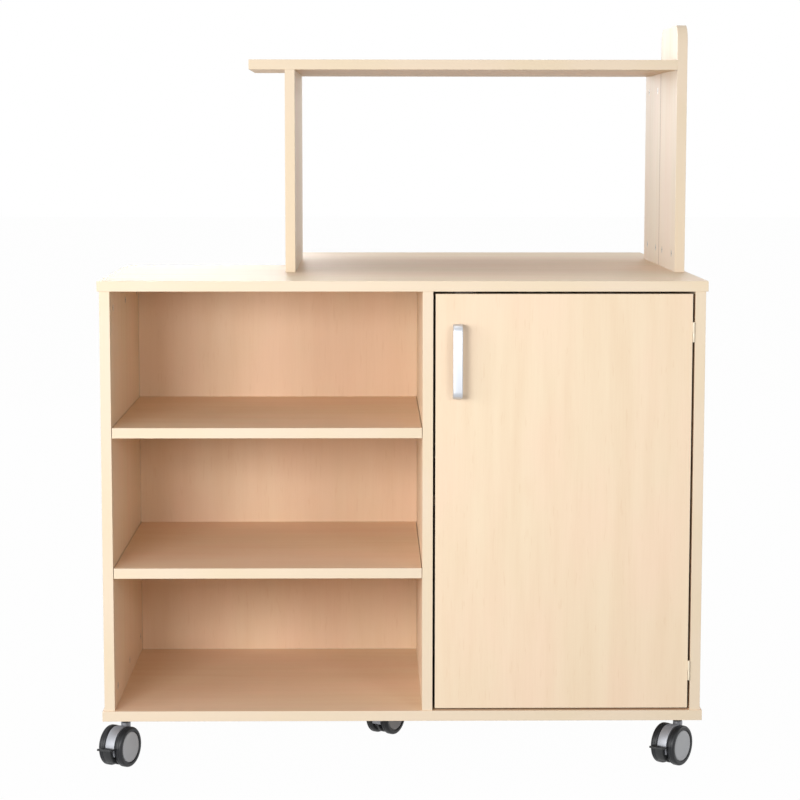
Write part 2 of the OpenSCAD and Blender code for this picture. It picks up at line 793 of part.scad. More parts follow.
// Top plates of the castors, each with its collar
module castor_plates() {
    color(steel) in_place() for (c = castor_at) translate([c[0], c[1], 0]) {
        difference() {
            slab([-plate_w / 2, plate_w / 2], [-plate_w / 2, plate_w / 2], [plate_z, base_z]);
            for (x = [-1, 1], y = [-1, 1])
                rod_z([x * plate_hole, y * plate_hole, plate_z - cut], screw_d, plate_thick + 2 * cut, 1);
        }
        difference() {
            rod_z([0, 0, hood_top + race_gap], collar_d, plate_z - hood_top - race_gap, 1);
            rod_z([0, 0, hood_top], kingpin_d, plate_z - hood_top, 1);
        }
    }
}

// Kingpins on which the castors swivel, pressed into the collars
module kingpins() {
    color(steel) in_place() for (c = castor_at)
        rod_z([c[0], c[1], hood_top - kingpin_in], kingpin_d, plate_z - hood_top + kingpin_in, 1);
}

// Screws that hold the castor plates
module castor_screws() {
    color(steel) in_place() for (c = castor_at, x = [-1, 1], y = [-1, 1])
        translate([c[0] + x * plate_hole, c[1] + y * plate_hole, 0]) {
            rod_z([0, 0, plate_z], screw_d, castor_screw_in + plate_thick, 1);
            rod_z([0, 0, plate_z - castor_head_h], head_d, castor_head_h, 1);
        }
}

// Puts a flat outline of depth and height between the wheels, centred on the axle
module on_axle(width) {
    translate([-width / 2, -castor_trail, wheel_r])
        rotate([90, 0, 90]) linear_extrude(width) children();
}

// A sector of a ring about the axle, between two angles from the rear
module ring_sector(outer, inner, from, to) {
    reach = 2 * outer;
    mid = (from + to) / 2;
    difference() {
        intersection() {
            circle(r = outer, $fn = 96);
            polygon([[0, 0], reach * [cos(from), sin(from)], reach * [cos(mid), sin(mid)],
                reach * [cos(to), sin(to)]]);
        }
        circle(r = inner, $fn = 96);
    }
}

// Hood of a castor: a mudguard between the wheels, a web with the axle, and the kingpin's boss
module castor_hood() {
    difference() {
        union() {
            on_axle(hood_w) ring_sector(hood_r, hood_r - hood_thick, hood_start, hood_end);
            on_axle(web_w) circle(r = wheel_r - web_sunk, $fn = 96);
            rod_z([0, 0, hood_top], hood_w, kingpin_in + kingpin_play + boss_floor, -1);
            rod_z([0, 0, hood_top], collar_d, collar_h, -1);
            rod_x([-wheel_in - axle_in, -castor_trail, wheel_r], axle_d, 2 * (wheel_in + axle_in), 1);
        }
        rod_z([0, 0, hood_top + cut], kingpin_d + 2 * running_play, kingpin_in + kingpin_play + cut, -1);
        rod_x(concat([-hood_w], pedal_pin_at()), pedal_pin_d + 2 * running_play, 2 * hood_w, 1);
    }
}

// Depth and height of the pedal's pin
function pedal_pin_at() = [pedal_pin_r * cos(pedal_pin_angle) - castor_trail,
    wheel_r + pedal_pin_r * sin(pedal_pin_angle)];

// Profile of one tyre: distance from the axle, then place across the width
module tyre_profile() {
    translate([hub_r, 0]) square([wheel_r - hub_r - tyre_round, wheel_w]);
    translate([hub_r, tyre_round]) square([wheel_r - hub_r, wheel_w - 2 * tyre_round]);
    for (x = [tyre_round, wheel_w - tyre_round])
        translate([wheel_r - tyre_round, x]) circle(r = tyre_round);
}

// Stands a shape turned about Z on the axle, pointing out to one side
module on_wheel(side) {
    translate([side * wheel_in, -castor_trail, wheel_r]) rotate([0, side * 90, 0]) children();
}

// One wheel of a castor: a soft tyre on a hub, whose outer face is the grey cap
module castor_wheel(side) {
    on_wheel(side) {
        color(dark) rotate_extrude($fn = 96) tyre_profile();
        color(cap_grey) difference() {
            union() {
                cylinder(r = hub_r, h = cap_edge, $fn = 96);
                translate([0, 0, cap_edge])
                    cylinder(r1 = hub_r, r2 = hub_r - cap_slope, h = cap_slope, $fn = 96);
            }
            rod_z([0, 0, -cut], axle_d + 2 * running_play, axle_in + 2 * cut, 1);
        }
    }
}

// Brake pedal: a wide lip on a narrow apron, and two cheeks with a pin through the hood's web
module castor_pedal() {
    cheek_w = (apron_w - web_w) / 2 - cheek_play;
    on_axle(apron_w)
        ring_sector(pedal_r + pedal_thick, pedal_r, lip_angle, hood_end + apron_arc);
    on_axle(pedal_w) ring_sector(wheel_r + pedal_lip, pedal_r, lip_angle, lip_end);
    for (side = [-1, 1]) translate([side * (apron_w - cheek_w) / 2, 0, 0]) on_axle(cheek_w)
        ring_sector(pedal_r + pedal_thick / 2, pedal_pin_r - cheek_lap, hood_end + cheek_gap,
            hood_end + cheek_gap + cheek_arc);
    rod_x(concat([-apron_w / 2], pedal_pin_at()), pedal_pin_d, apron_w, 1);
}

// One piece of one castor in its place
module castor_piece(i, kind) {
    in_place() at_castor(i) {
        if (kind == "hood") color(steel) castor_hood();
        if (kind == "left_wheel") castor_wheel(-1);
        if (kind == "right_wheel") castor_wheel(1);
        if (kind == "pedal") color(dark) castor_pedal();
    }
}

module front_left_hood() castor_piece(0, "hood");
module front_left_left_wheel() castor_piece(0, "left_wheel");
module front_left_right_wheel() castor_piece(0, "right_wheel");
module front_left_pedal() castor_piece(0, "pedal");
module front_right_hood() castor_piece(1, "hood");
module front_right_left_wheel() castor_piece(1, "left_wheel");
module front_right_right_wheel() castor_piece(1, "right_wheel");
module front_right_pedal() castor_piece(1, "pedal");
module middle_hood() castor_piece(2, "hood");
module middle_left_wheel() castor_piece(2, "left_wheel");
module middle_right_wheel() castor_piece(2, "right_wheel");
module inner_left_hood() castor_piece(3, "hood");
module inner_left_left_wheel() castor_piece(3, "left_wheel");
module inner_left_right_wheel() castor_piece(3, "right_wheel");
module inner_right_hood() castor_piece(4, "hood");
module inner_right_left_wheel() castor_piece(4, "left_wheel");
module inner_right_right_wheel() castor_piece(4, "right_wheel");
module rear_left_hood() castor_piece(5, "hood");
module rear_left_left_wheel() castor_piece(5, "left_wheel");
module rear_left_right_wheel() castor_piece(5, "right_wheel");
module rear_right_hood() castor_piece(6, "hood");
module rear_right_left_wheel() castor_piece(6, "left_wheel");
module rear_right_right_wheel() castor_piece(6, "right_wheel");

front_worktop();
front_bottom_board();
left_side_panel();
right_side_panel();
divider_panel();
front_back_panel();
upper_bay_shelf();
lower_bay_shelf();
cupboard_shelf();
shelf_pins();
cam_locks();
cam_bolts();
door();
handle();
handle_screws();
hinge_frame_leaves();
hinge_door_leaves();
hinge_pins();
magnet_catch();
catch_plate();
rear_worktop();
rear_bottom_board();
rear_left_side();
rear_right_side();
rear_back_panel();
rear_upper_shelf();
rear_lower_shelf();
unit_bolts();
left_upright_front();
left_upright_rear();
tall_end_panel();
right_upright_rear();
upper_shelf_front();
upper_shelf_rear();
castor_plates();
kingpins();
castor_screws();
front_left_hood();
front_left_left_wheel();
front_left_right_wheel();
front_left_pedal();
front_right_hood();
front_right_left_wheel();
front_right_right_wheel();
front_right_pedal();
middle_hood();
middle_left_wheel();
middle_right_wheel();
inner_left_hood();
inner_left_left_wheel();
inner_left_right_wheel();
inner_right_hood();
inner_right_left_wheel();
inner_right_right_wheel();
rear_left_hood();
rear_left_left_wheel();
rear_left_right_wheel();
rear_right_hood();
rear_right_left_wheel();
rear_right_right_wheel();
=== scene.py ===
"""Double-sided kitchen cart in maple-faced board, on castors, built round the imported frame."""
import json
import math

import bmesh
import bpy
from mathutils import Matrix, Vector


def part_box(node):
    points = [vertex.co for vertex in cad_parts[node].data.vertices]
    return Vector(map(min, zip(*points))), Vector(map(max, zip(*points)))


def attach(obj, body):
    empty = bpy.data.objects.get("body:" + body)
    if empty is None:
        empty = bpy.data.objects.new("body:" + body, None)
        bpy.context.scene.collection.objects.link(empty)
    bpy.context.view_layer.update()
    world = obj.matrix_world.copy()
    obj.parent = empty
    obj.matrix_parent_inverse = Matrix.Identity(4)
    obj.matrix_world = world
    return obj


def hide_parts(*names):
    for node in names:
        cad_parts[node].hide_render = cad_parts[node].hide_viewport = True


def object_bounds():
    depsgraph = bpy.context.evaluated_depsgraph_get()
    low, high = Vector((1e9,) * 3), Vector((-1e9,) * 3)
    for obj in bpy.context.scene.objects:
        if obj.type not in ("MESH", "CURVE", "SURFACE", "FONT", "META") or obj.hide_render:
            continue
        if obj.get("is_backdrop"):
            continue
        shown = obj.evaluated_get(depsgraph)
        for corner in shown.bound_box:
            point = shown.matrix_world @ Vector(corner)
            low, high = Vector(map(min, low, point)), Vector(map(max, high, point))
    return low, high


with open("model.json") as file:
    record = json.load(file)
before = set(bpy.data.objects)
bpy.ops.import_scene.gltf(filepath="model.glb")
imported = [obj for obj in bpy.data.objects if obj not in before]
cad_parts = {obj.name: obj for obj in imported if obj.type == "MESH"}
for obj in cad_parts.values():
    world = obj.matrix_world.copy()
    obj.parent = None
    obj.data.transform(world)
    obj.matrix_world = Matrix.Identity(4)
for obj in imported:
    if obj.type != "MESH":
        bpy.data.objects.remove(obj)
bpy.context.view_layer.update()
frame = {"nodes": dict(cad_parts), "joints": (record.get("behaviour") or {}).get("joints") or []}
nodes = frame["nodes"]

# Front worktop: a maple-faced chipboard top with a 1 mm band glued round its edges.
# It lies on the side panels and the divider, with its front edge a little proud of them.
# Every board of the cart is cut, banded and eased in the same way.


class Sock:
    """A shader node's output, on which Python's arithmetic adds Math nodes."""

    def __init__(self, finish, socket):
        self.finish, self.socket = finish, socket

    def math(self, operation, *others):
        values = {0: self, **{i + 1: v for i, v in enumerate(others)}}
        return self.finish.node("ShaderNodeMath", {"operation": operation}, values)

    def __add__(self, other):
        return self.math("ADD", other)

    def __sub__(self, other):
        return self.math("SUBTRACT", other)

    def __rsub__(self, other):
        return self.math("MULTIPLY_ADD", -1.0, other)

    def __mul__(self, other):
        return self.math("MULTIPLY", other)

    __radd__ = __add__
    __rmul__ = __mul__

    def ramp(self, low, high):
        """0 below low and 1 above high, with a smooth step between them."""
        settings = {"interpolation_type": "SMOOTHSTEP"}
        values = {"Value": self, "From Min": low, "From Max": high}
        return self.finish.node("ShaderNodeMapRange", settings, values)

    def also(self, name):
        """Another output of the same node."""
        return Sock(self.finish, self.socket.node.outputs[name])


class Finish:
    """A material on the Principled shader, whose nodes are added by its methods."""

    def __init__(self, name, **constants):
        self.material = bpy.data.materials.new(name)
        self.material.use_nodes = True
        self.tree = self.material.node_tree
        self.shader = self.tree.nodes["Principled BSDF"]
        self.set(**constants)

    def node(self, kind, settings, values, out=0):
        """One shader node: its type, its settings, and the values or links of its sockets."""
        made = self.tree.nodes.new(kind)
        for key, value in settings.items():
            setattr(made, key, value)
        for key, value in values.items():
            if isinstance(value, Sock):
                self.tree.links.new(value.socket, made.inputs[key])
            else:
                made.inputs[key].default_value = value
        return Sock(self, made.outputs[out])

    def set(self, **constants):
        for key, value in constants.items():
            socket = self.shader.inputs[key.replace("_", " ")]
            if isinstance(value, Sock):
                self.tree.links.new(value.socket, socket)
            else:
                socket.default_value = value
        return self

    def place(self, scale=(1, 1, 1), shift=(0, 0, 0), turn=(0, 0, 0)):
        """The point on the piece, in metres, turned and then scaled and shifted."""
        point = self.node("ShaderNodeTexCoord", {}, {}, "Object")
        turned = self.node("ShaderNodeMapping", {}, {"Vector": point, "Rotation": turn})
        values = {"Vector": turned, "Scale": scale, "Location": shift}
        return self.node("ShaderNodeMapping", {}, values)

    def noise(self, point, scale, detail=2.0, rough=0.5):
        values = {"Vector": point, "Scale": scale, "Detail": detail, "Roughness": rough}
        return self.node("ShaderNodeTexNoise", {}, values)

    def blend(self, factor, first, second):
        """A colour between two, each of which is a triple or a socket."""
        first, second = ((*c, 1) if isinstance(c, tuple) else c for c in (first, second))
        values = {0: factor, 6: first, 7: second}
        return self.node("ShaderNodeMix", {"data_type": "RGBA"}, values, 2)

    def bump(self, height, distance, strength=1.0):
        values = {"Height": height, "Distance": distance, "Strength": strength}
        return self.set(Normal=self.node("ShaderNodeBump", {}, values))


GRAIN_TURN = {"X": (0, -math.pi / 2, 0), "Y": (math.pi / 2, 0, 0), "Z": (0, 0, 0)}
FACE = (0.825, 0.66, 0.50)
# The next colour is a warmer, deeper copy of the face colour for the front unit's inside boards:
# painted shade of the bays.
SHADED_INNER = (0.87, 0.65, 0.475)
EDGE = (0.76, 0.63, 0.48)
# The next colour is a paler, greyer copy of the face colour for the superstructure: painted sheen
# on its faces.
SHEEN_PALE = (0.80, 0.695, 0.58)
# The next colour is the painted shadow line along a seam between two boards.
SEAM_SHADE = (0.22, 0.13, 0.09)
MELAMINE_IOR = 1.35


def maple(name, grain, seed, light=FACE, seam=None):
    """Printed maple under clear melamine: clouds, flame, fibre, flecks and a few pin knots.

    A seam is the depth at which the board meets another one, darkened there as a painted shadow
    line.
    """
    f = Finish(name, IOR=MELAMINE_IOR)
    turn, shift = GRAIN_TURN[grain], (seed * 1.37, seed * 0.71, seed * 2.13)
    deep = (light[0] * 0.86, light[1] * 0.76, light[2] * 0.64)
    cloud = f.noise(f.place((1, 1, 0.42), shift, turn), 5.5, 3.0, 0.55)
    streak = f.noise(f.place((1, 1, 0.10), shift, turn), 24.0, 4.0, 0.6)
    warp = f.noise(f.place((1, 1, 0.22), shift, turn), 4.0, 2.0)
    across = f.node("ShaderNodeSeparateXYZ", {}, {0: f.place((1, 1, 1), shift, turn)})
    flame = ((across + across.also("Y")) * 150.0 + warp * 42.0).math("SINE") * 0.5 + 0.5
    fibre = f.noise(f.place((1, 1, 0.02), shift, turn), 520.0, 2.0, 0.6)
    fleck = f.noise(f.place((1, 1, 0.09), shift, turn), 260.0, 1.0).ramp(0.66, 0.74)
    cells = {"Vector": f.place((1, 1, 0.55), shift, turn), "Scale": 3.4}
    cell = f.node("ShaderNodeTexVoronoi", {}, cells)
    chosen = f.node("ShaderNodeSeparateColor", {}, {0: cell.also("Color")})
    knot = (1.0 - cell.ramp(0.02, 0.10)) * chosen.math("GREATER_THAN", 0.62)
    rosy = (light[0] * 1.01, light[1] * 0.975, light[2] * 0.955)
    sallow = (light[0] * 0.985, light[1] * 1.01, light[2] * 0.97)
    tone = f.blend(cloud.ramp(0.35, 0.65), rosy, sallow)
    depth = (streak.ramp(0.35, 0.75) * 0.20 + flame * cloud.ramp(0.4, 0.7) * 0.14
             + fibre.ramp(0.3, 0.8) * 0.10 + fleck * 0.20 + knot * 0.55)
    colour = f.blend(depth, tone, deep)
    if seam is not None:
        # Painted shade: a dark line along the seam, as if shadow lay in a gap between the boards.
        at = f.node("ShaderNodeSeparateXYZ", {}, {0: f.place()}).also("Y")
        dust_and_seam_shade = (1.0 - (at - seam).math("ABSOLUTE").ramp(0.002, 0.007)) * 0.75
        colour = f.blend(dust_and_seam_shade, colour, SEAM_SHADE)
    f.set(Base_Color=colour, Roughness=0.40 + 0.10 * streak + 0.05 * fibre)
    return f.bump(fibre * 0.5 - fleck, 0.00004, 0.5).material


def band(name, along, seed):
    """Edge band of the same print, paler and plainer, with its figure along the edge."""
    f = Finish(name, IOR=MELAMINE_IOR)
    shift = (seed * 0.9, seed * 1.7, seed * 0.4)
    streak = f.noise(f.place((1, 1, 0.04), shift, GRAIN_TURN[along]), 190.0, 3.0, 0.6)
    cloud = f.noise(f.place((1, 1, 0.5), shift, GRAIN_TURN[along]), 9.0, 2.0)
    warmer = (EDGE[0] * 0.985, EDGE[1] * 0.985, EDGE[2] * 0.94)
    pale = f.blend(cloud.ramp(0.35, 0.65), EDGE, warmer)
    f.set(Base_Color=f.blend(streak.ramp(0.45, 0.85) * 0.22, pale, (0.80, 0.60, 0.42)),
          Roughness=0.38 + 0.08 * streak)
    return f.bump(streak, 0.00003, 0.4).material


MM = 0.001
BAND_THICK = 1.0 * MM
EASED = 0.45 * MM
THIN = {"X": 0, "Y": 1, "Z": 2}
SHARP = 1.2
SMOOTH_UNDER = math.radians(32)


def keep(name, mesh, materials, body, replaced, smooth=False):
    """A finished mesh becomes a piece that rides on a body and stands for CAD nodes."""
    mesh.normal_update()
    data = bpy.data.meshes.new(name)
    mesh.to_mesh(data)
    mesh.free()
    for material in materials:
        data.materials.append(material)
    if smooth:
        data.shade_smooth()
        data.set_sharp_from_angle(angle=SMOOTH_UNDER)
    made = bpy.data.objects.new(name, data)
    bpy.context.scene.collection.objects.link(made)
    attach(made, body)
    if replaced:
        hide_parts(*replaced)
    return made


def block(mesh, low, high):
    """Adds a plain block between two corners to a mesh and gives its vertices."""
    verts = bmesh.ops.create_cube(mesh, size=1.0)["verts"]
    bmesh.ops.scale(mesh, vec=Vector(high) - Vector(low), verts=verts)
    bmesh.ops.translate(mesh, vec=(Vector(low) + Vector(high)) / 2, verts=verts)
    return verts


def blank(node):
    """A plain block as large as a CAD board."""
    mesh = bmesh.new()
    block(mesh, *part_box(node))
    return mesh


def banded(mesh, thin):
    """Bands the narrow sides of a blank: they and a thin line round both faces take material 1."""
    mesh.normal_update()
    broad = [face for face in mesh.faces if abs(face.normal[thin]) > 0.9]
    for face in mesh.faces:
        face.material_index = 1
    for face in broad:
        face.material_index = 0
    rims = bmesh.ops.inset_individual(mesh, faces=broad, thickness=BAND_THICK, use_even_offset=True)
    for face in rims["faces"]:
        face.material_index = 1
    mesh.normal_update()
    corners = [e for e in mesh.edges if e.is_manifold and e.calc_face_angle() > SHARP]
    bmesh.ops.bevel(mesh, geom=corners, offset=EASED, segments=2, profile=0.5, affect="EDGES",
                    material=-1, clamp_overlap=True)
    return mesh


def board(node, thin, grain, seed, body="cart", light=FACE, seam=None):
    """A banded board in place of a CAD board: thin is the way of its thickness."""
    finishes = [maple(node + "_face", grain, seed, light, seam), band(node + "_band", grain, seed)]
    mesh = banded(blank(node), THIN[thin])
    return keep(node + "_board", mesh, finishes, body, [node])


board("front_worktop", "Z", "X", 1.1)

# Bottom board: the same board as the worktop, cut and banded alike.
# The panels stand on it, and four of the castors are screwed to its underside.
# Its face takes the warmer inside colour, painted shade of the bays.
board("front_bottom_board", "Z", "X", 2.3, light=SHADED_INNER)

# Side panels and divider: upright boards between bottom board and worktop, joined by cam locks.
# The cam locks sit in round pockets, which show on the left panel's inner face.
POCKET = 7.7 * MM
POCKET_DEPTH = 2.0 * MM
TOUCH = 0.1 * MM


def islands(data):
    """The vertex positions of each separate solid in a CAD mesh."""
    mesh = bmesh.new()
    mesh.from_mesh(data)
    bmesh.ops.remove_doubles(mesh, verts=mesh.verts, dist=0.01 * MM)
    left, groups = set(mesh.verts), []
    while left:
        stack, group = [left.pop()], []
        while stack:
            vert = stack.pop()
            group.append(vert.co.copy())
            for edge in vert.link_edges:
                other = edge.other_vert(vert)
                if other in left:
                    left.remove(other)
                    stack.append(other)
        groups.append(group)
    mesh.free()
    return sorted(groups, key=lambda g: tuple(round(v, 5) for v in middle(g)))


def middle(points):
    """The middle of the box round some points."""
    return Vector((min(p[i] for p in points) + max(p[i] for p in points)) / 2 for i in range(3))


cams = islands(nodes["cam_locks"].data)


def cam_sites(node, axis, side):
    """The cam locks that show on a board's face: the middle of each, and the way into the board."""
    low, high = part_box(node)
    level = (high if side > 0 else low)[axis]
    way = Vector(-side if i == axis else 0 for i in range(3))
    found = []
    for cam in cams:
        spot = middle(cam)
        near = min(abs(v[axis] - level) for v in cam) < TOUCH
        if near and all(low[i] < spot[i] < high[i] for i in range(3)):
            spot[axis] = level
            found.append((spot, way))
    return found


def rod(mesh, start, way, length, radius, segments=32, tip=None):
    """Adds a closed rod to a mesh: tip is its radius at the far end, where it tapers."""
    way = Vector(way).normalized()
    turn = way.to_track_quat("Z", "Y").to_matrix().to_4x4()
    place = Matrix.Translation(Vector(start) + way * length / 2) @ turn
    return bmesh.ops.create_cone(mesh, cap_ends=True, segments=segments, radius1=radius,
                                 radius2=radius if tip is None else tip, depth=length, matrix=place)


def drilled(made, sites, radius, depth):
    """Cuts round pockets into a board: a site is a point on its face and the way into it."""
    cutter = bmesh.new()
    for spot, way in sites:
        rod(cutter, spot - way * MM, way, depth + MM, radius)
    data = bpy.data.meshes.new("cutter")
    cutter.to_mesh(data)
    cutter.free()
    tool = bpy.data.objects.new("cutter", data)
    bpy.context.scene.collection.objects.link(tool)
    cut = made.modifiers.new("pockets", "BOOLEAN")
    cut.operation, cut.solver, cut.object = "DIFFERENCE", "EXACT", tool
    bpy.context.view_layer.update()
    held = made.evaluated_get(bpy.context.evaluated_depsgraph_get())
    shaped = bpy.data.meshes.new_from_object(held)
    made.modifiers.clear()
    old, made.data = made.data, shaped
    bpy.data.meshes.remove(old)
    bpy.data.objects.remove(tool)
    bpy.data.meshes.remove(data)


cam_places = []


def cammed(made, node, axis, side):
    """Cuts the pockets of the cam locks that show on a board's face and notes their places."""
    sites = cam_sites(node, axis, side)
    drilled(made, sites, POCKET, POCKET_DEPTH)
    cam_places.extend(sites)


def upright(node, seed, side, light=FACE, seam=None):
    """An upright board whose cam locks show on its face towards side."""
    cammed(board(node, "X", "Z", seed, light=light, seam=seam), node, 0, side)


upright("left_side_panel", 3.7, 1)
upright("right_side_panel", 4.2, -1)
upright("divider_panel", 5.9, 1)

# Back panel of the front unit: a maple-faced board held between the side panels.
# It stops the frame from racking and closes both the open bay and the cupboard.
# Its face takes the warmer inside colour, painted shade of the bays.
board("front_back_panel", "Y", "Z", 6.4, light=SHADED_INNER)

# Shelves: maple-faced boards banded all round. Those of the open bay are pushed on concealed pins,
# and the cupboard's lies loose on four pins.
# The shelves take the warmer inside colour, painted shade of the bays.
board("upper_bay_shelf", "Z", "X", 7.7, light=SHADED_INNER)
board("lower_bay_shelf", "Z", "X", 8.1, light=SHADED_INNER)
board("cupboard_shelf", "Z", "X", 9.6, light=SHADED_INNER)

# Door: one upright board, banded all round, that lies flush in the cupboard's opening.
# It hangs on two hinges at its right edge, with an even gap round it.
board("door", "Y", "Z", 10.3, body="door")

# Rear unit: boards like the front unit's, with two shelves that open to the rear.
# It stands back to back with the front unit, and bolts through both backs hold them together.
board("rear_worktop", "Z", "X", 11.8)
board("rear_bottom_board", "Z", "X", 12.2)
upright("rear_left_side", 13.5, 1)
upright("rear_right_side", 14.4, -1)
board("rear_back_panel", "Y", "Z", 15.1)
board("rear_upper_shelf", "Z", "X", 16.6)
board("rear_lower_shelf", "Z", "X", 17.9)

# Superstructure: uprights and the upper shelf, each in a front and a rear half.
# Two cams in the shelf's underside pull it to the tall panel.
# The tall panel and the rear upright meet at this depth, and both get a painted shadow line there.
joint_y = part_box("tall_end_panel")[1].y
# The uprights take the paler colour, a painted sheen on their faces.
upright("left_upright_front", 18.2, 1, light=SHEEN_PALE)
upright("left_upright_rear", 19.7, 1, light=SHEEN_PALE)
upright("right_upright_rear", 20.3, -1, light=SHEEN_PALE, seam=joint_y)
cammed(board("upper_shelf_front", "Z", "X", 21.6), "upper_shelf_front", 2, -1)
board("upper_shelf_rear", "Z", "X", 22.5)

# Tall end panel: a board with rounded top corners, which the upper shelf butts against.
# Cam locks hold it to the worktop and the shelf, and it keeps things from falling off the end.
TALL_ROUND = 32 * MM
mesh = blank("tall_end_panel")
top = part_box("tall_end_panel")[1].z
rounded = [e for e in mesh.edges if all(abs(v.co.z - top) < MM for v in e.verts)
           and abs(e.verts[0].co.x - e.verts[1].co.x) > MM]
bmesh.ops.bevel(mesh, geom=rounded, offset=TALL_ROUND, segments=16, profile=0.5, affect="EDGES",
                material=-1)
# The tall panel takes the paler colour too, a painted sheen on its faces.
tall = keep("tall_end_panel_board", banded(mesh, 0),
            [maple("tall_face", "Z", 23.4, SHEEN_PALE, joint_y), band("tall_band", "Z", 23.4)],
            "cart", ["tall_end_panel"])
cammed(tall, "tall_end_panel", 0, -1)

# Cam locks: zinc discs with a cross slot, set a little below the boards' faces.
# Their bolts run inside the boards and show only at the slots.
CAM_R = 7.4 * MM
CAM_SUNK = 0.4 * MM
CAM_THICK = 1.5 * MM
CROSS = 7.5 * MM
CROSS_W = 1.4 * MM
PROUD = 0.1 * MM


def zinc_finish():
    """Bright zinc plating, a little clouded."""
    f = Finish("zinc", Metallic=1.0)
    wear = f.noise(f.place(), 900.0, 3.0)
    f.set(Base_Color=f.blend(wear, (0.62, 0.62, 0.61), (0.46, 0.46, 0.46)),
          Roughness=0.32 + 0.2 * wear)
    return f.bump(wear, 0.00002).material


def recess_shade_finish():
    """Painted shade of a screw's cross recess: a dark, mottled colour."""
    f = Finish("recess_shade", Metallic=0.6)
    shade_mottle = f.noise(f.place(), 1500.0, 2.0)
    return f.set(Base_Color=f.blend(shade_mottle, (0.05, 0.05, 0.05), (0.12, 0.12, 0.12)),
                 Roughness=0.5 + 0.2 * shade_mottle).material


zinc, recess_shade = zinc_finish(), recess_shade_finish()


def crossed(mesh, spot, way, size, width, proud=PROUD):
    """Adds a cross to a screw's head, standing proud of it by a hair, in a dark colour that paints
    the shade of a recess.
    """
    way = Vector(way).normalized()
    turn = way.to_track_quat("Z", "Y").to_matrix().to_4x4()
    for span in ((size, width), (width, size)):
        bar = bmesh.ops.create_cube(mesh, size=1.0)
        bmesh.ops.scale(mesh, vec=(*span, proud), verts=bar["verts"])
        bmesh.ops.transform(mesh, matrix=Matrix.Translation(spot) @ turn, verts=bar["verts"])
        for face in {f for v in bar["verts"] for f in v.link_faces}:
            face.material_index = 1


mesh = bmesh.new()
for spot, way in cam_places:
    rod(mesh, spot + way * CAM_SUNK, way, CAM_THICK, CAM_R)
    crossed(mesh, spot + way * CAM_SUNK, way, CROSS, CROSS_W)
keep("cam_lock_heads", mesh, [zinc, recess_shade], "cart", ["cam_locks"])

# Handle: a flat bar of satin aluminium, bent at both ends into legs that the screws hold.
# Its long edges are well rounded.
HANDLE_THICK = 5.5 * MM
HANDLE_LEG = 8 * MM
HANDLE_ROUND = 14 * MM
HANDLE_EASE = 2.2 * MM
KINK = 0.6


def satin_finish(name, light, dark, along, rough):
    """Satin aluminium or steel, brushed along one axis."""
    f = Finish(name, Metallic=1.0)
    lines = f.noise(f.place((1, 1, 0.01), turn=GRAIN_TURN[along]), 2600.0, 2.0)
    soft = f.noise(f.place(), 60.0, 2.0)
    f.set(Base_Color=f.blend(lines, light, dark), Roughness=rough + 0.10 * lines + 0.05 * soft)
    return f.bump(lines, 0.00001).material


def arc(middle_y, middle_z, radius, start, end, steps=8):
    """Points on an arc in depth and height, between two angles in degrees."""
    turns = (math.radians(start + (end - start) * i / steps) for i in range(steps + 1))
    return [(middle_y + radius * math.cos(a), middle_z + radius * math.sin(a)) for a in turns]


def extruded(outline, left, right, ease, segments=2):
    """A bar from an outline of depth and height, as wide as from left to right, with eased rims."""
    mesh = bmesh.new()
    face = mesh.faces.new([mesh.verts.new((left, y, z)) for y, z in outline])
    pulled = bmesh.ops.extrude_face_region(mesh, geom=[face])["geom"]
    bmesh.ops.translate(mesh, vec=(right - left, 0, 0),
                        verts=[v for v in pulled if isinstance(v, bmesh.types.BMVert)])
    bmesh.ops.recalc_face_normals(mesh, faces=mesh.faces)
    rims = [e for e in mesh.edges if e.is_manifold and abs(e.calc_face_angle()) > KINK]
    bmesh.ops.bevel(mesh, geom=rims, offset=ease, segments=segments, profile=0.5, affect="EDGES",
                    material=-1, clamp_overlap=True)
    return mesh


def handle_outline(low, high):
    """The handle seen from the side: the outside of the bar from bottom to top, then its inside."""
    out, tall = high.y - low.y, high.z - low.z
    bend, inner = out - HANDLE_ROUND, HANDLE_ROUND - HANDLE_THICK
    top = high.z - HANDLE_ROUND
    outside = [(high.y, low.z)] + arc(high.y - bend, low.z + HANDLE_ROUND, HANDLE_ROUND, 270, 180)
    outside += arc(high.y - bend, top, HANDLE_ROUND, 180, 90) + [(high.y, high.z)]
    shift = HANDLE_LEG + inner
    inside = [(high.y, high.z - HANDLE_LEG)] + arc(high.y - bend, high.z - shift, inner, 90, 180)
    inside += arc(high.y - bend, low.z + shift, inner, 180, 270) + [(high.y, low.z + HANDLE_LEG)]
    return outside + inside


low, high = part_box("handle")
mesh = extruded(handle_outline(low, high), low.x, high.x, HANDLE_EASE, 4)
aluminium = satin_finish("satin_aluminium", (0.58, 0.60, 0.63), (0.52, 0.54, 0.58), "Z", 0.36)
keep("bar_handle", mesh, [aluminium], "door", ["handle"], smooth=True)

# Handle screws: zinc plated machine screws through the door into the handle's legs.
# Their domed heads with a cross recess show on the door's inner face.
HEAD_R = 4 * MM
HEAD_H = 2.5 * MM
SHANK_R = 2 * MM
INWARD = Vector((0, 1, 0))


def span(points):
    """The lowest and highest corners of the box round some points."""
    low = Vector(min(p[i] for p in points) for i in range(3))
    return low, Vector(max(p[i] for p in points) for i in range(3))


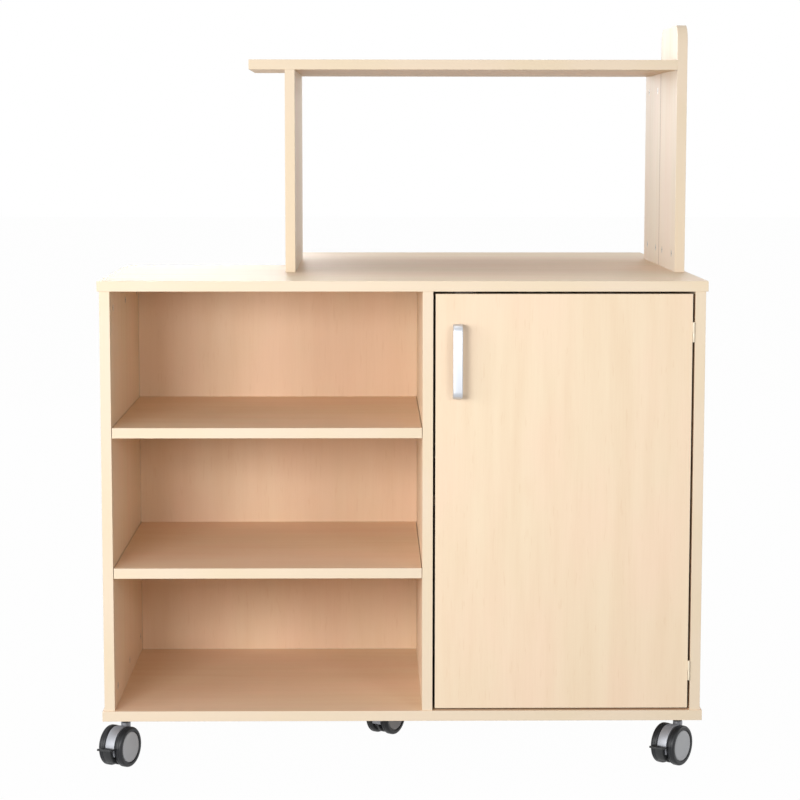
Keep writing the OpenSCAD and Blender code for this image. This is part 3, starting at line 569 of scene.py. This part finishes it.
mesh = bmesh.new()
for solid in islands(nodes["handle_screws"].data):
    low, high = span(solid)
    spot = middle(solid)
    base = Vector((spot.x, high.y - HEAD_H, spot.z))
    length = high.y - low.y - HEAD_H
    rod(mesh, base - INWARD * length, INWARD, length, SHANK_R, 16)
    rod(mesh, base, INWARD, HEAD_H * 0.45, HEAD_R)
    rod(mesh, base + INWARD * HEAD_H * 0.45, INWARD, HEAD_H * 0.3, HEAD_R, tip=HEAD_R * 0.92)
    dome = base + INWARD * HEAD_H * 0.75
    rod(mesh, dome, INWARD, HEAD_H * 0.22, HEAD_R * 0.92, tip=HEAD_R * 0.62)
    crossed(mesh, base + INWARD * HEAD_H * 0.96, INWARD, HEAD_R * 0.9, HEAD_R * 0.2, 0.12 * MM)
keep("handle_screw_heads", mesh, [zinc, recess_shade], "door", ["handle_screws"])

# Hinges: two cream enamelled steel butt hinges in the gap at the door's right edge, each with a
# leaf flat on the side panel and one on the door's edge, held by two screws.
# The lower knuckle belongs to the leaf on the side panel, the upper one to the leaf on the door.
BARREL_R = 1.9 * MM
HALF_GAP = 2.25 * MM
KNUCKLE_H = 18 * MM
KNUCKLE_PLAY = 0.1 * MM
LEAF_H = 36 * MM
LEAF_THICK = 1.2 * MM
LEAF_DEEP = 17 * MM
LEAF_CLEAR = 0.3 * MM
LEAF_EASE = 0.25 * MM
LEAF_SCREW_R = 2.8 * MM
LEAF_SCREW_RISES = (8 * MM, 28 * MM)
PIN_R = 1.0 * MM
PIN_HEAD_R = 1.45 * MM


def enamel_finish():
    """Cream enamel, a little uneven like a brushed coat."""
    f = Finish("cream_enamel", Coat_Weight=0.3)
    coat = f.noise(f.place(), 300.0, 2.0)
    f.set(Base_Color=f.blend(coat, (0.79, 0.70, 0.545), (0.74, 0.64, 0.485)),
          Roughness=0.35 + 0.1 * coat)
    return f.bump(coat, 0.00003).material


def joined(parts):
    """One mesh from several, which are used up."""
    whole = bmesh.new()
    for part in parts:
        data = bpy.data.meshes.new("part")
        part.to_mesh(data)
        part.free()
        whole.from_mesh(data)
        bpy.data.meshes.remove(data)
    return whole


def hinge_half(pin, side):
    """A leaf with its knuckle: side is 1 for the side panel's half and -1 for the door's."""
    low, high = pin
    x, y = (low.x + high.x) / 2, (low.y + high.y) / 2
    bottom, mid, top = low.z, low.z + KNUCKLE_H, low.z + LEAF_H
    wall = x + side * HALF_GAP
    face = wall - side * LEAF_THICK
    left, right = sorted((wall, face))
    behind = y + BARREL_R + LEAF_CLEAR
    foot, head = (mid + KNUCKLE_PLAY, top) if side < 0 else (bottom, mid - KNUCKLE_PLAY)
    leaf = bmesh.new()
    block(leaf, (left, behind, bottom), (right, LEAF_FRONT + LEAF_DEEP, top))
    block(leaf, (left, y, foot), (right, behind, head))
    rod(leaf, (x, y, foot), (0, 0, 1), head - foot, BARREL_R)
    bmesh.ops.bevel(leaf, geom=[e for e in leaf.edges if e.calc_face_angle(0) > SHARP],
                    offset=LEAF_EASE, segments=2, profile=0.5, affect="EDGES", material=-1,
                    clamp_overlap=True)
    screws = bmesh.new()
    way = Vector((-side, 0, 0))
    for rise in LEAF_SCREW_RISES:
        spot = Vector((face, LEAF_FRONT + LEAF_DEEP / 2 + MM, bottom + rise))
        rod(screws, spot - way * 0.6 * MM, way, 0.75 * MM, LEAF_SCREW_R, 24, LEAF_SCREW_R * 0.95)
        crossed(screws, spot + way * 0.15 * MM, way, LEAF_SCREW_R, 0.7 * MM)
    for f in screws.faces:
        f.material_index += 1
    return joined([leaf, screws])


LEAF_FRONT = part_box("door")[0].y
enamel = enamel_finish()
pins = [span(pin) for pin in islands(nodes["hinge_pins"].data)]
for side, node, body in ((1, "hinge_frame_leaves", "cart"), (-1, "hinge_door_leaves", "door")):
    keep(node + "_enamelled", joined([hinge_half(pin, side) for pin in pins]),
         [enamel, zinc, recess_shade], body, [node], smooth=True)
mesh = bmesh.new()
for low, high in pins:
    x, y = (low.x + high.x) / 2, (low.y + high.y) / 2
    rod(mesh, (x, y, low.z), (0, 0, 1), high.z - low.z - 0.4 * MM, PIN_R, 24)
    rod(mesh, (x, y, high.z - 0.8 * MM), (0, 0, 1), 0.5 * MM, PIN_HEAD_R, 24)
    rod(mesh, (x, y, high.z - 0.3 * MM), (0, 0, 1), 0.3 * MM, PIN_HEAD_R, 24, 0.7 * MM)
keep("hinge_pin_rods", mesh, [enamel], "cart", ["hinge_pins"], smooth=True)

# Magnetic catch: a moulded case between two ears that are screwed up into the worktop.
# Its two browned steel poles meet the plate on the door.
POLE_PROUD = 0.25 * MM
POLE_H = 1.8 * MM
POLE_RISES = (2.4 * MM, 7.2 * MM)
POLE_IN = 9 * MM
EAR_W = 6 * MM
EAR_BACK = 4 * MM
EAR_RISE = 8 * MM
CASE_EASE = 0.8 * MM


def moulded_finish(name, light, dark, rough, grain=1400.0):
    """Moulded plastic with a fine spark-eroded grain."""
    f = Finish(name, IOR=1.46)
    fine = f.noise(f.place(), grain, 2.0)
    broad = f.noise(f.place(), 40.0, 2.0)
    f.set(Base_Color=f.blend(broad, light, dark), Roughness=rough + 0.12 * fine)
    return f.bump(fine, 0.00004).material


low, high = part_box("magnet_catch")
case = bmesh.new()
block(case, low + Vector((EAR_W, POLE_PROUD, 0)), high - Vector((EAR_W, 0, 0)))
block(case, low + Vector((0, EAR_BACK, EAR_RISE)), high)
bmesh.ops.bevel(case, geom=case.edges[:], offset=CASE_EASE, segments=3, profile=0.5,
                affect="EDGES", material=-1, clamp_overlap=True)
steel_parts = bmesh.new()
for rise in POLE_RISES:
    block(steel_parts, (low.x + POLE_IN, low.y, low.z + rise),
          (high.x - POLE_IN, low.y + 2 * MM, low.z + rise + POLE_H))
for x in (low.x + EAR_W / 2, high.x - EAR_W / 2):
    at = (x, low.y + 8.5 * MM, low.z + EAR_RISE + 0.6 * MM)
    rod(steel_parts, at, (0, 0, -1), 1.2 * MM, 2.4 * MM, 24, 1.7 * MM)
for f in steel_parts.faces:
    f.material_index = 1
# The case's dark brown is painted shade: it stands for the shade of the gap over the door.
gap_shade_case = moulded_finish("gap_shade_case", (0.060, 0.040, 0.026), (0.045, 0.030, 0.020), 0.42)
browned = satin_finish("browned_steel", (0.085, 0.07, 0.06), (0.06, 0.05, 0.045), "X", 0.45)
keep("catch_case", joined([case, steel_parts]), [gap_shade_case, browned], "cart", ["magnet_catch"],
     smooth=True)

# Catch plate: a browned steel strip with rounded corners on the door's inner face.
# One countersunk screw with a cross recess holds it.
STRIP_ROUND = 2.5 * MM
STRIP_SCREW_R = 2.6 * MM
low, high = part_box("catch_plate")
plate = bmesh.new()
block(plate, low, high)
corners = [e for e in plate.edges if abs(e.verts[0].co.y - e.verts[1].co.y) > 0.5 * MM]
bmesh.ops.bevel(plate, geom=corners, offset=STRIP_ROUND, segments=5, profile=0.5, affect="EDGES",
                material=-1, clamp_overlap=True)
spot = Vector(((low.x + high.x) / 2, high.y, (low.z + high.z) / 2))
screw = bmesh.new()
rod(screw, spot - INWARD * 0.6 * MM, INWARD, 0.6 * MM, STRIP_SCREW_R, 24, 2.5 * MM)
crossed(screw, spot, INWARD, STRIP_SCREW_R, 0.7 * MM)
keep("catch_strip", joined([plate, screw]), [browned, recess_shade], "door", ["catch_plate"])

# Shelf pins: plated steel pins with eased ends, pushed into holes in the panels.
# Those of the bay sit hidden in the shelves' ends.
SHELF_PIN_R = 2.5 * MM
SHELF_PIN_EASE = 0.5 * MM
mesh = bmesh.new()
for solid in islands(nodes["shelf_pins"].data):
    low, high = span(solid)
    spot = middle(solid)
    near, far = low.x + SHELF_PIN_EASE, high.x - SHELF_PIN_EASE
    end_r = SHELF_PIN_R - SHELF_PIN_EASE
    rod(mesh, (near, spot.y, spot.z), (1, 0, 0), far - near, SHELF_PIN_R, 24)
    rod(mesh, (low.x, spot.y, spot.z), (1, 0, 0), SHELF_PIN_EASE, end_r, 24, SHELF_PIN_R)
    rod(mesh, (far, spot.y, spot.z), (1, 0, 0), SHELF_PIN_EASE, SHELF_PIN_R, 24, end_r)
keep("shelf_pin_rods", mesh, [zinc], "cart", ["shelf_pins"], smooth=True)

# Unit bolts: plated sleeve bolts through both back panels, which hold the two units together.
# Each has a wide flat head with a cross recess on both sides.
BOLT_R = 3 * MM
BOLT_HEAD_R = 7 * MM
BOLT_HEAD_H = 3 * MM
BOLT_RIM = 2.1 * MM
mesh = bmesh.new()
for solid in islands(nodes["unit_bolts"].data):
    low, high = span(solid)
    spot = middle(solid)
    front, back = low.y + BOLT_HEAD_H, high.y - BOLT_HEAD_H
    rod(mesh, (spot.x, front, spot.z), INWARD, back - front, BOLT_R, 24)
    for y, way in ((front, -INWARD), (back, INWARD)):
        start = Vector((spot.x, y, spot.z))
        rod(mesh, start, way, BOLT_RIM, BOLT_HEAD_R, 48)
        rod(mesh, start + way * BOLT_RIM, way, 0.85 * MM, BOLT_HEAD_R, 48, 5.6 * MM)
        crossed(mesh, start + way * 2.95 * MM, way, 6.5 * MM, 1.3 * MM)
keep("unit_bolt_heads", mesh, [zinc, recess_shade], "cart", ["unit_bolts"], smooth=True)

# Cam bolts and kingpins: plated steel, turned on a lathe. The cam bolts run inside the boards to
# their locks, and the kingpins join the castors' hoods to their plates. Both stay plain.
for name in ("cam_bolts", "kingpins"):
    bolts = nodes[name].data
    bolts.materials.clear()
    bolts.materials.append(zinc)

# Castors: seven twin-wheel swivel castors under the bottom boards.
# Each part is made once, on the floor under the origin, and copied to the swivel axes.
TRAIL = 21 * MM
AXLE_Z = 37.5 * MM
AXLE = (0, -TRAIL, AXLE_Z)
swivels, turns = {}, {}
for joint in frame["joints"]:
    name = joint["name"]
    if name.endswith("_castor_swivel"):
        swivels[name[:-14]] = Vector(joint["pos_m"])
    elif name.endswith("_left_wheel_spin"):
        turns[name[:-16]] = math.atan2(joint["axis"][1], joint["axis"][0])
places = {name: Matrix.Translation((at.x, at.y, 0)) @ Matrix.Rotation(turns[name], 4, "Z")
          for name, at in swivels.items()}


def copied(part, matrix):
    """A copy of a mesh at another place."""
    copy = part.copy()
    bmesh.ops.transform(copy, matrix=matrix, verts=copy.verts)
    return copy


def turned(profile, segments, centre=(0, 0, 0), axis=(1, 0, 0), up=(0, 0, 1)):
    """A solid turned about an axis: profile is distance from the axis and place along it."""
    mesh = bmesh.new()
    centre, axis, up = Vector(centre), Vector(axis), Vector(up)
    points = [mesh.verts.new(centre + axis * along + up * radius) for radius, along in profile]
    edges = [mesh.edges.new(pair) for pair in zip(points, points[1:])]
    bmesh.ops.spin(mesh, geom=points + edges, cent=centre, axis=axis, angle=2 * math.pi,
                   steps=segments, use_merge=True)
    bmesh.ops.remove_doubles(mesh, verts=mesh.verts, dist=0.005 * MM)
    bmesh.ops.recalc_face_normals(mesh, faces=mesh.faces)
    return mesh


def sector(outer, inner, start, end, steps):
    """Outline of a piece of a ring round the axle, between two angles from the rear."""
    return (arc(-TRAIL, AXLE_Z, outer, start, end, steps)
            + arc(-TRAIL, AXLE_Z, inner, end, start, steps))


def for_castors(name, part, materials, node):
    """One piece from the copies of a part at all the castors, in place of a CAD group."""
    mesh = joined([copied(part, place) for place in places.values()])
    part.free()
    keep(name, mesh, materials, "cart", [node], smooth=True)


# Castor plates: pressed steel plates with rounded corners, each with a collar for the kingpin.
# The ball race shows as a dark line between the plate's collar and the hood's: a narrow gap, and
# under it the boss's dark neck, which is painted shade of the board.
PLATE_Z = 91 * MM
BASE_Z = 93 * MM
PLATE_HALF = 27.5 * MM
PLATE_ROUND = 6 * MM
PLATE_EASE = 0.4 * MM
steel = satin_finish("castor_steel", (0.58, 0.59, 0.62), (0.48, 0.49, 0.52), "X", 0.42)
plate = bmesh.new()
block(plate, (-PLATE_HALF, -PLATE_HALF, PLATE_Z), (PLATE_HALF, PLATE_HALF, BASE_Z))
corners = [e for e in plate.edges if abs(e.verts[0].co.z - e.verts[1].co.z) > MM]
bmesh.ops.bevel(plate, geom=corners, offset=PLATE_ROUND, segments=6, profile=0.5, affect="EDGES",
                material=-1)
bmesh.ops.bevel(plate, geom=[e for e in plate.edges if e.calc_face_angle(0) > SHARP],
                offset=PLATE_EASE, segments=2, profile=0.5, affect="EDGES", material=-1)
steps = [(0, 82.6), (8.2, 82.6), (8.6, 83.0), (8.6, 84.4), (9.0, 84.9), (9.0, 88.6), (8.6, 89.2),
         (8.6, 91), (0, 91)]
collar = turned([(r * MM, z * MM) for r, z in steps], 48, axis=(0, 0, 1), up=(1, 0, 0))
for_castors("castor_top_plates", joined([plate, collar]), [steel], "castor_plates")

# Castor screws: four plated screws to a plate, driven up into the board.
# They have pan heads with a cross recess.
SCREW_OUT = 21 * MM
PAN_R = 4 * MM
PAN_RIM = 1.2 * MM
DOWN = Vector((0, 0, -1))
heads = bmesh.new()
for x in (-SCREW_OUT, SCREW_OUT):
    for y in (-SCREW_OUT, SCREW_OUT):
        at = Vector((x, y, PLATE_Z))
        rod(heads, at, DOWN, PAN_RIM, PAN_R, 24)
        rod(heads, at + DOWN * PAN_RIM, DOWN, 0.9 * MM, PAN_R, 24, 2.8 * MM)
        crossed(heads, at + DOWN * 2.15 * MM, DOWN, PAN_R, 0.9 * MM)
for_castors("castor_screw_heads", heads, [zinc, recess_shade], "castor_screws")

# Hoods: mudguards cast in silver grey lacquered alloy, between the wheels, with the axle.
# Their web is a dark moulding, and the kingpin's boss has a dark neck: painted shade of the board
# above.
HOOD_HALF = 9.5 * MM
WEB_HALF = 2.5 * MM
SHADED_NECK_Z = 78.2 * MM


def lacquer_finish():
    """Silver lacquer: a fine metal fleck under a dull clear coat."""
    f = Finish("silver_lacquer", Metallic=0.45)
    fleck = f.noise(f.place(), 3000.0, 1.0)
    broad = f.noise(f.place(), 60.0, 2.0)
    f.set(Base_Color=f.blend(fleck, (0.40, 0.41, 0.44), (0.34, 0.35, 0.38)),
          Roughness=0.42 + 0.10 * fleck + 0.06 * broad)
    return f.bump(fleck, 0.00001).material


def darkened(part, above=-1.0):
    """Gives material 1 to the faces of a part that lie above a height: dark moulding on the web,
    painted shade on the boss's neck.
    """
    for face in part.faces:
        if face.calc_center_median().z > above:
            face.material_index = 1
    return part


boss = [(0, 57.5), (8.3, 57.5), (8.9, 58.1), (8.9, 77.6), (8.5, 78.1), (7.9, 78.3), (7.9, 81.6),
        (7.5, 82), (0, 82)]
axle = [(0, -20), (3.6, -20), (4, -19.6), (4, 19.6), (3.6, 20), (0, 20)]
hood = joined([
    extruded(sector(37 * MM, 32.5 * MM, 56, 201, 44), -HOOD_HALF, HOOD_HALF, 0.7 * MM, 3),
    darkened(extruded(arc(-TRAIL, AXLE_Z, 35 * MM, 0, 352.5, 47), -WEB_HALF, WEB_HALF, 0.4 * MM)),
    # The boss's neck under the plate takes the dark material, as painted shade of the board.
    darkened(turned([(r * MM, z * MM) for r, z in boss], 48, axis=(0, 0, 1), up=(1, 0, 0)), SHADED_NECK_Z),
    turned([(r * MM, x * MM) for r, x in axle], 32, centre=AXLE)])
silver = lacquer_finish()
moulding_and_neck_shade = moulded_finish("moulding_and_neck_shade", (0.018, 0.019, 0.021), (0.013, 0.014, 0.016), 0.45)
for name, place in places.items():
    keep(name + "_mudguard", copied(hood, place), [silver, moulding_and_neck_shade], name + "_swivel",
         [name + "_hood"], smooth=True)
hood.free()

# Castor wheels: a soft dark tread moulded round a hub, with a flat grey cap pressed into its side.
# Two of them turn on each hood's axle. Their profile is in millimetres.
HUB_R = 28.5
TYRE_R = 37.5
TYRE_W = 14.5
ROUND = 4
GROOVES = (4.75, 9.4)
GROOVE_R = 37.1
WHEEL_IN = 10 * MM


def rubber_finish():
    """Dark grey tread, dull, with dusty streaks round the wheel."""
    f = Finish("tread", IOR=1.38)
    dust_and_seam_shade = f.noise(f.place(), 220.0, 3.0)
    fine = f.noise(f.place(), 1800.0, 2.0)
    f.set(Base_Color=f.blend(dust_and_seam_shade, (0.013, 0.014, 0.016), (0.022, 0.023, 0.026)),
          Roughness=0.26 + 0.18 * dust_and_seam_shade + 0.08 * fine)
    return f.bump(fine, 0.00004).material


def wheel(side):
    """One wheel about the axle: tyre with two fine grooves, rim, and a cap with a bevelled edge."""
    quarter = [i * math.pi / 12 for i in range(7)]
    inner, far = TYRE_R - ROUND, TYRE_W - ROUND
    shape = [(0, 1.2), (11.4, 1.2), (12, 1.8), (26.6, 1.8), (27.2, 0.6), (HUB_R, 0.3), (29.4, 0)]
    shape += [(inner + ROUND * math.sin(a), ROUND - ROUND * math.cos(a)) for a in quarter]
    for x in GROOVES:
        shape += [(TYRE_R, x - 0.15), (GROOVE_R, x), (GROOVE_R, x + 0.35), (TYRE_R, x + 0.5)]
    shape += [(inner + ROUND * math.cos(a), far + ROUND * math.sin(a)) for a in quarter]
    outside = [(30.6, 0), (29.9, 0.2), (29.4, 0.9), (29.2, 1.9), (HUB_R, 2.2), (28.2, 2.0),
               (28.0, 1.3), (27.6, 0.9), (27.0, 0.75), (20, 0.6), (10, 0.5), (0, 0.48)]
    shape += [(r, TYRE_W - depth) for r, depth in outside]
    profile = [(r * MM, side * (WHEEL_IN + x * MM)) for r, x in shape]
    made = turned(profile, 96, centre=AXLE)
    for face in made.faces:
        spot = face.calc_center_median()
        if math.hypot(spot.y + TRAIL, spot.z - AXLE_Z) < (HUB_R + 0.1) * MM:
            face.material_index = 1
    return made


tread = rubber_finish()
cap = moulded_finish("wheel_cap", (0.54, 0.55, 0.57), (0.49, 0.50, 0.52), 0.34, 2400.0)
for side, hand in ((-1, "left"), (1, "right")):
    shape = wheel(side)
    for name, place in places.items():
        node = name + "_" + hand + "_wheel"
        keep(node + "_tyre", copied(shape, place), [tread, cap], node, [node], smooth=True)
    shape.free()

# Brake pedals: moulded levers on the front castors, a lip to tread on and a thick shield under it,
# on two cheeks that turn on a pin through the hood's web.
LIP_HALF = 14.5 * MM
LIP_R = 58 * MM
SHIELD_HALF = 8 * MM
SHIELD_IN = 38.8 * MM
CHEEK_OUT = 5.5 * MM
CHEEK_IN = 3 * MM
PEDAL_PIN_R = 2 * MM
pedal_plastic = moulded_finish("pedal_plastic", (0.016, 0.017, 0.018), (0.012, 0.013, 0.014), 0.42)


def round_axle(radius, angle):
    """A point in depth and height, at a distance in millimetres and an angle round the axle."""
    return arc(-TRAIL, AXLE_Z, radius * MM, angle, angle, 1)[0]


shield = [round_axle(r, a) for a, r in (
    (174, 53), (177, 50), (181, 48), (186, 47), (192, 46.4), (199, 45.6), (206, 44.6),
    (212, 43.4), (218, 42))]
shield += arc(-TRAIL, AXLE_Z, SHIELD_IN, 218, 174, 14)
cheek = sector(39.9 * MM, 18 * MM, 204, 222, 8)
pin = [(0, -CHEEK_OUT), (PEDAL_PIN_R, -CHEEK_OUT), (PEDAL_PIN_R, CHEEK_OUT), (0, CHEEK_OUT)]
pedal = joined([
    extruded(shield, -SHIELD_HALF, SHIELD_HALF, 1.0 * MM, 3),
    extruded(sector(LIP_R, SHIELD_IN, 174, 178, 2), -LIP_HALF, LIP_HALF, 1.2 * MM, 4),
    extruded(cheek, -CHEEK_OUT, -CHEEK_IN, 0.4 * MM),
    extruded(cheek, CHEEK_IN, CHEEK_OUT, 0.4 * MM),
    turned(pin, 24, centre=(0, *round_axle(22, 215)))])
for name in ("front_left", "front_right"):
    keep(name + "_lever", copied(pedal, places[name]), [pedal_plastic], name + "_pedal",
         [name + "_pedal"], smooth=True)
pedal.free()

# Stage: a pale floor that keeps the cart's shadow, in a white studio.
# A small key and a fill stand near the camera, large softboxes at both sides, one overhead, and two
# behind the cart that put a sheen on the worktop and on the inner faces of the superstructure.
FLOOR_SIZE = 30.0
FLOOR_WHITE = 0.985
WORLD_LIGHT = 0.33
ground = bmesh.new()
bmesh.ops.create_grid(ground, x_segments=1, y_segments=1, size=FLOOR_SIZE)
data = bpy.data.meshes.new("studio_floor")
ground.to_mesh(data)
ground.free()
floor = bpy.data.objects.new("studio_floor", data)
bpy.context.scene.collection.objects.link(floor)
floor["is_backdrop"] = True
paper = Finish("studio_paper", Base_Color=(0.40, 0.40, 0.40, 1), Roughness=0.9)
seen = paper.node("ShaderNodeLightPath", {}, {}, "Is Camera Ray")
shown = (seen + seen.also("Is Glossy Ray") + seen.also("Is Transmission Ray")).math("MINIMUM", 1.0)
glow = paper.node("ShaderNodeEmission", {}, {"Color": (1, 1, 1, 1), "Strength": 1.0})
lit = Sock(paper, paper.shader.outputs[0])
mixed = paper.node("ShaderNodeMixShader", {}, {0: shown * FLOOR_WHITE, 1: lit, 2: glow})
paper.tree.links.new(mixed.socket, paper.tree.nodes["Material Output"].inputs["Surface"])
data.materials.append(paper.material)

world = bpy.data.worlds.new("studio_white")
bpy.context.scene.world = world
world.use_nodes = True
tree = world.node_tree
path = tree.nodes.new("ShaderNodeLightPath")
soft = tree.nodes["Background"]
soft.inputs["Color"].default_value = (1, 1, 1, 1)
soft.inputs["Strength"].default_value = WORLD_LIGHT
white = tree.nodes.new("ShaderNodeBackground")
white.inputs["Color"].default_value = (1, 1, 1, 1)
white.inputs["Strength"].default_value = 1.0
either = tree.nodes.new("ShaderNodeMath")
either.operation, either.use_clamp = "ADD", True
tree.links.new(path.outputs["Is Camera Ray"], either.inputs[0])
tree.links.new(path.outputs["Is Glossy Ray"], either.inputs[1])
mix = tree.nodes.new("ShaderNodeMixShader")
tree.links.new(either.outputs[0], mix.inputs[0])
tree.links.new(soft.outputs[0], mix.inputs[1])
tree.links.new(white.outputs[0], mix.inputs[2])
tree.links.new(mix.outputs[0], tree.nodes["World Output"].inputs["Surface"])
world.cycles.sampling_method = "NONE"
paper.material.cycles.emission_sampling = "NONE"


def softbox(name, place, aim, size, power):
    """A studio softbox that looks at a point."""
    data = bpy.data.lights.new(name, "AREA")
    data.shape, data.size, data.size_y, data.energy = "RECTANGLE", *size, power
    made = bpy.data.objects.new(name, data)
    made.location = place
    made.rotation_euler = (Vector(aim) - Vector(place)).to_track_quat("-Z", "Y").to_euler()
    bpy.context.scene.collection.objects.link(made)


softbox("key_softbox", (-1.13, -2.87, 1.09), (0, -0.2, 0.7), (0.90, 0.60), 40)
softbox("fill_softbox", (1.05, -2.87, 1.10), (0, -0.2, 0.7), (0.50, 0.40), 13.5)
softbox("left_softbox", (-5.4, -4.2, 1.7), (0.0, -0.2, 0.9), (4.2, 3.0), 172)
softbox("right_softbox", (6.0, 1.5, 1.6), (0.4, 0.0, 0.7), (3.0, 2.4), 60)
softbox("top_softbox", (-0.3, 0.1, 3.2), (-0.1, 0, 0.9), (1.4, 1.2), 17)
softbox("rear_left_softbox", (-1.02, 5.5, 1.95), (-0.4, -0.1, 0.9), (1.4, 1.6), 41)
softbox("rear_right_softbox", (2.0, 5.5, 2.0), (0.4, -0.1, 0.9), (1.1, 1.5), 18)

# Camera: at the photograph's height and distance, a little left of the cart's middle.
# It was fitted to the photograph's edges, and it has no depth of field and no shift.
LEFT_OF_MIDDLE = 61.3 * MM
EYE_Y = -4.6844
EYE_Z = 1.1641
ANGLES = (83.523, -0.769, 0.047)
camera = bpy.data.cameras.new("camera")
camera.sensor_width, camera.lens = 36.0, 103.5
camera.clip_start, camera.clip_end = 0.1, 100.0
eye = bpy.data.objects.new("camera", camera)
tilt, swing, roll = (math.radians(a) for a in ANGLES)
low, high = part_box("front_worktop")
stand = Vector(((low.x + high.x) / 2 - LEFT_OF_MIDDLE, EYE_Y, EYE_Z))
eye.matrix_world = (Matrix.Translation(stand) @ Matrix.Rotation(swing, 4, "Z")
                    @ Matrix.Rotation(tilt, 4, "X") @ Matrix.Rotation(roll, 4, "Z"))
bpy.context.scene.collection.objects.link(eye)
bpy.context.scene.camera = eye
bpy.context.scene.view_settings.view_transform = "Standard"

low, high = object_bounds()
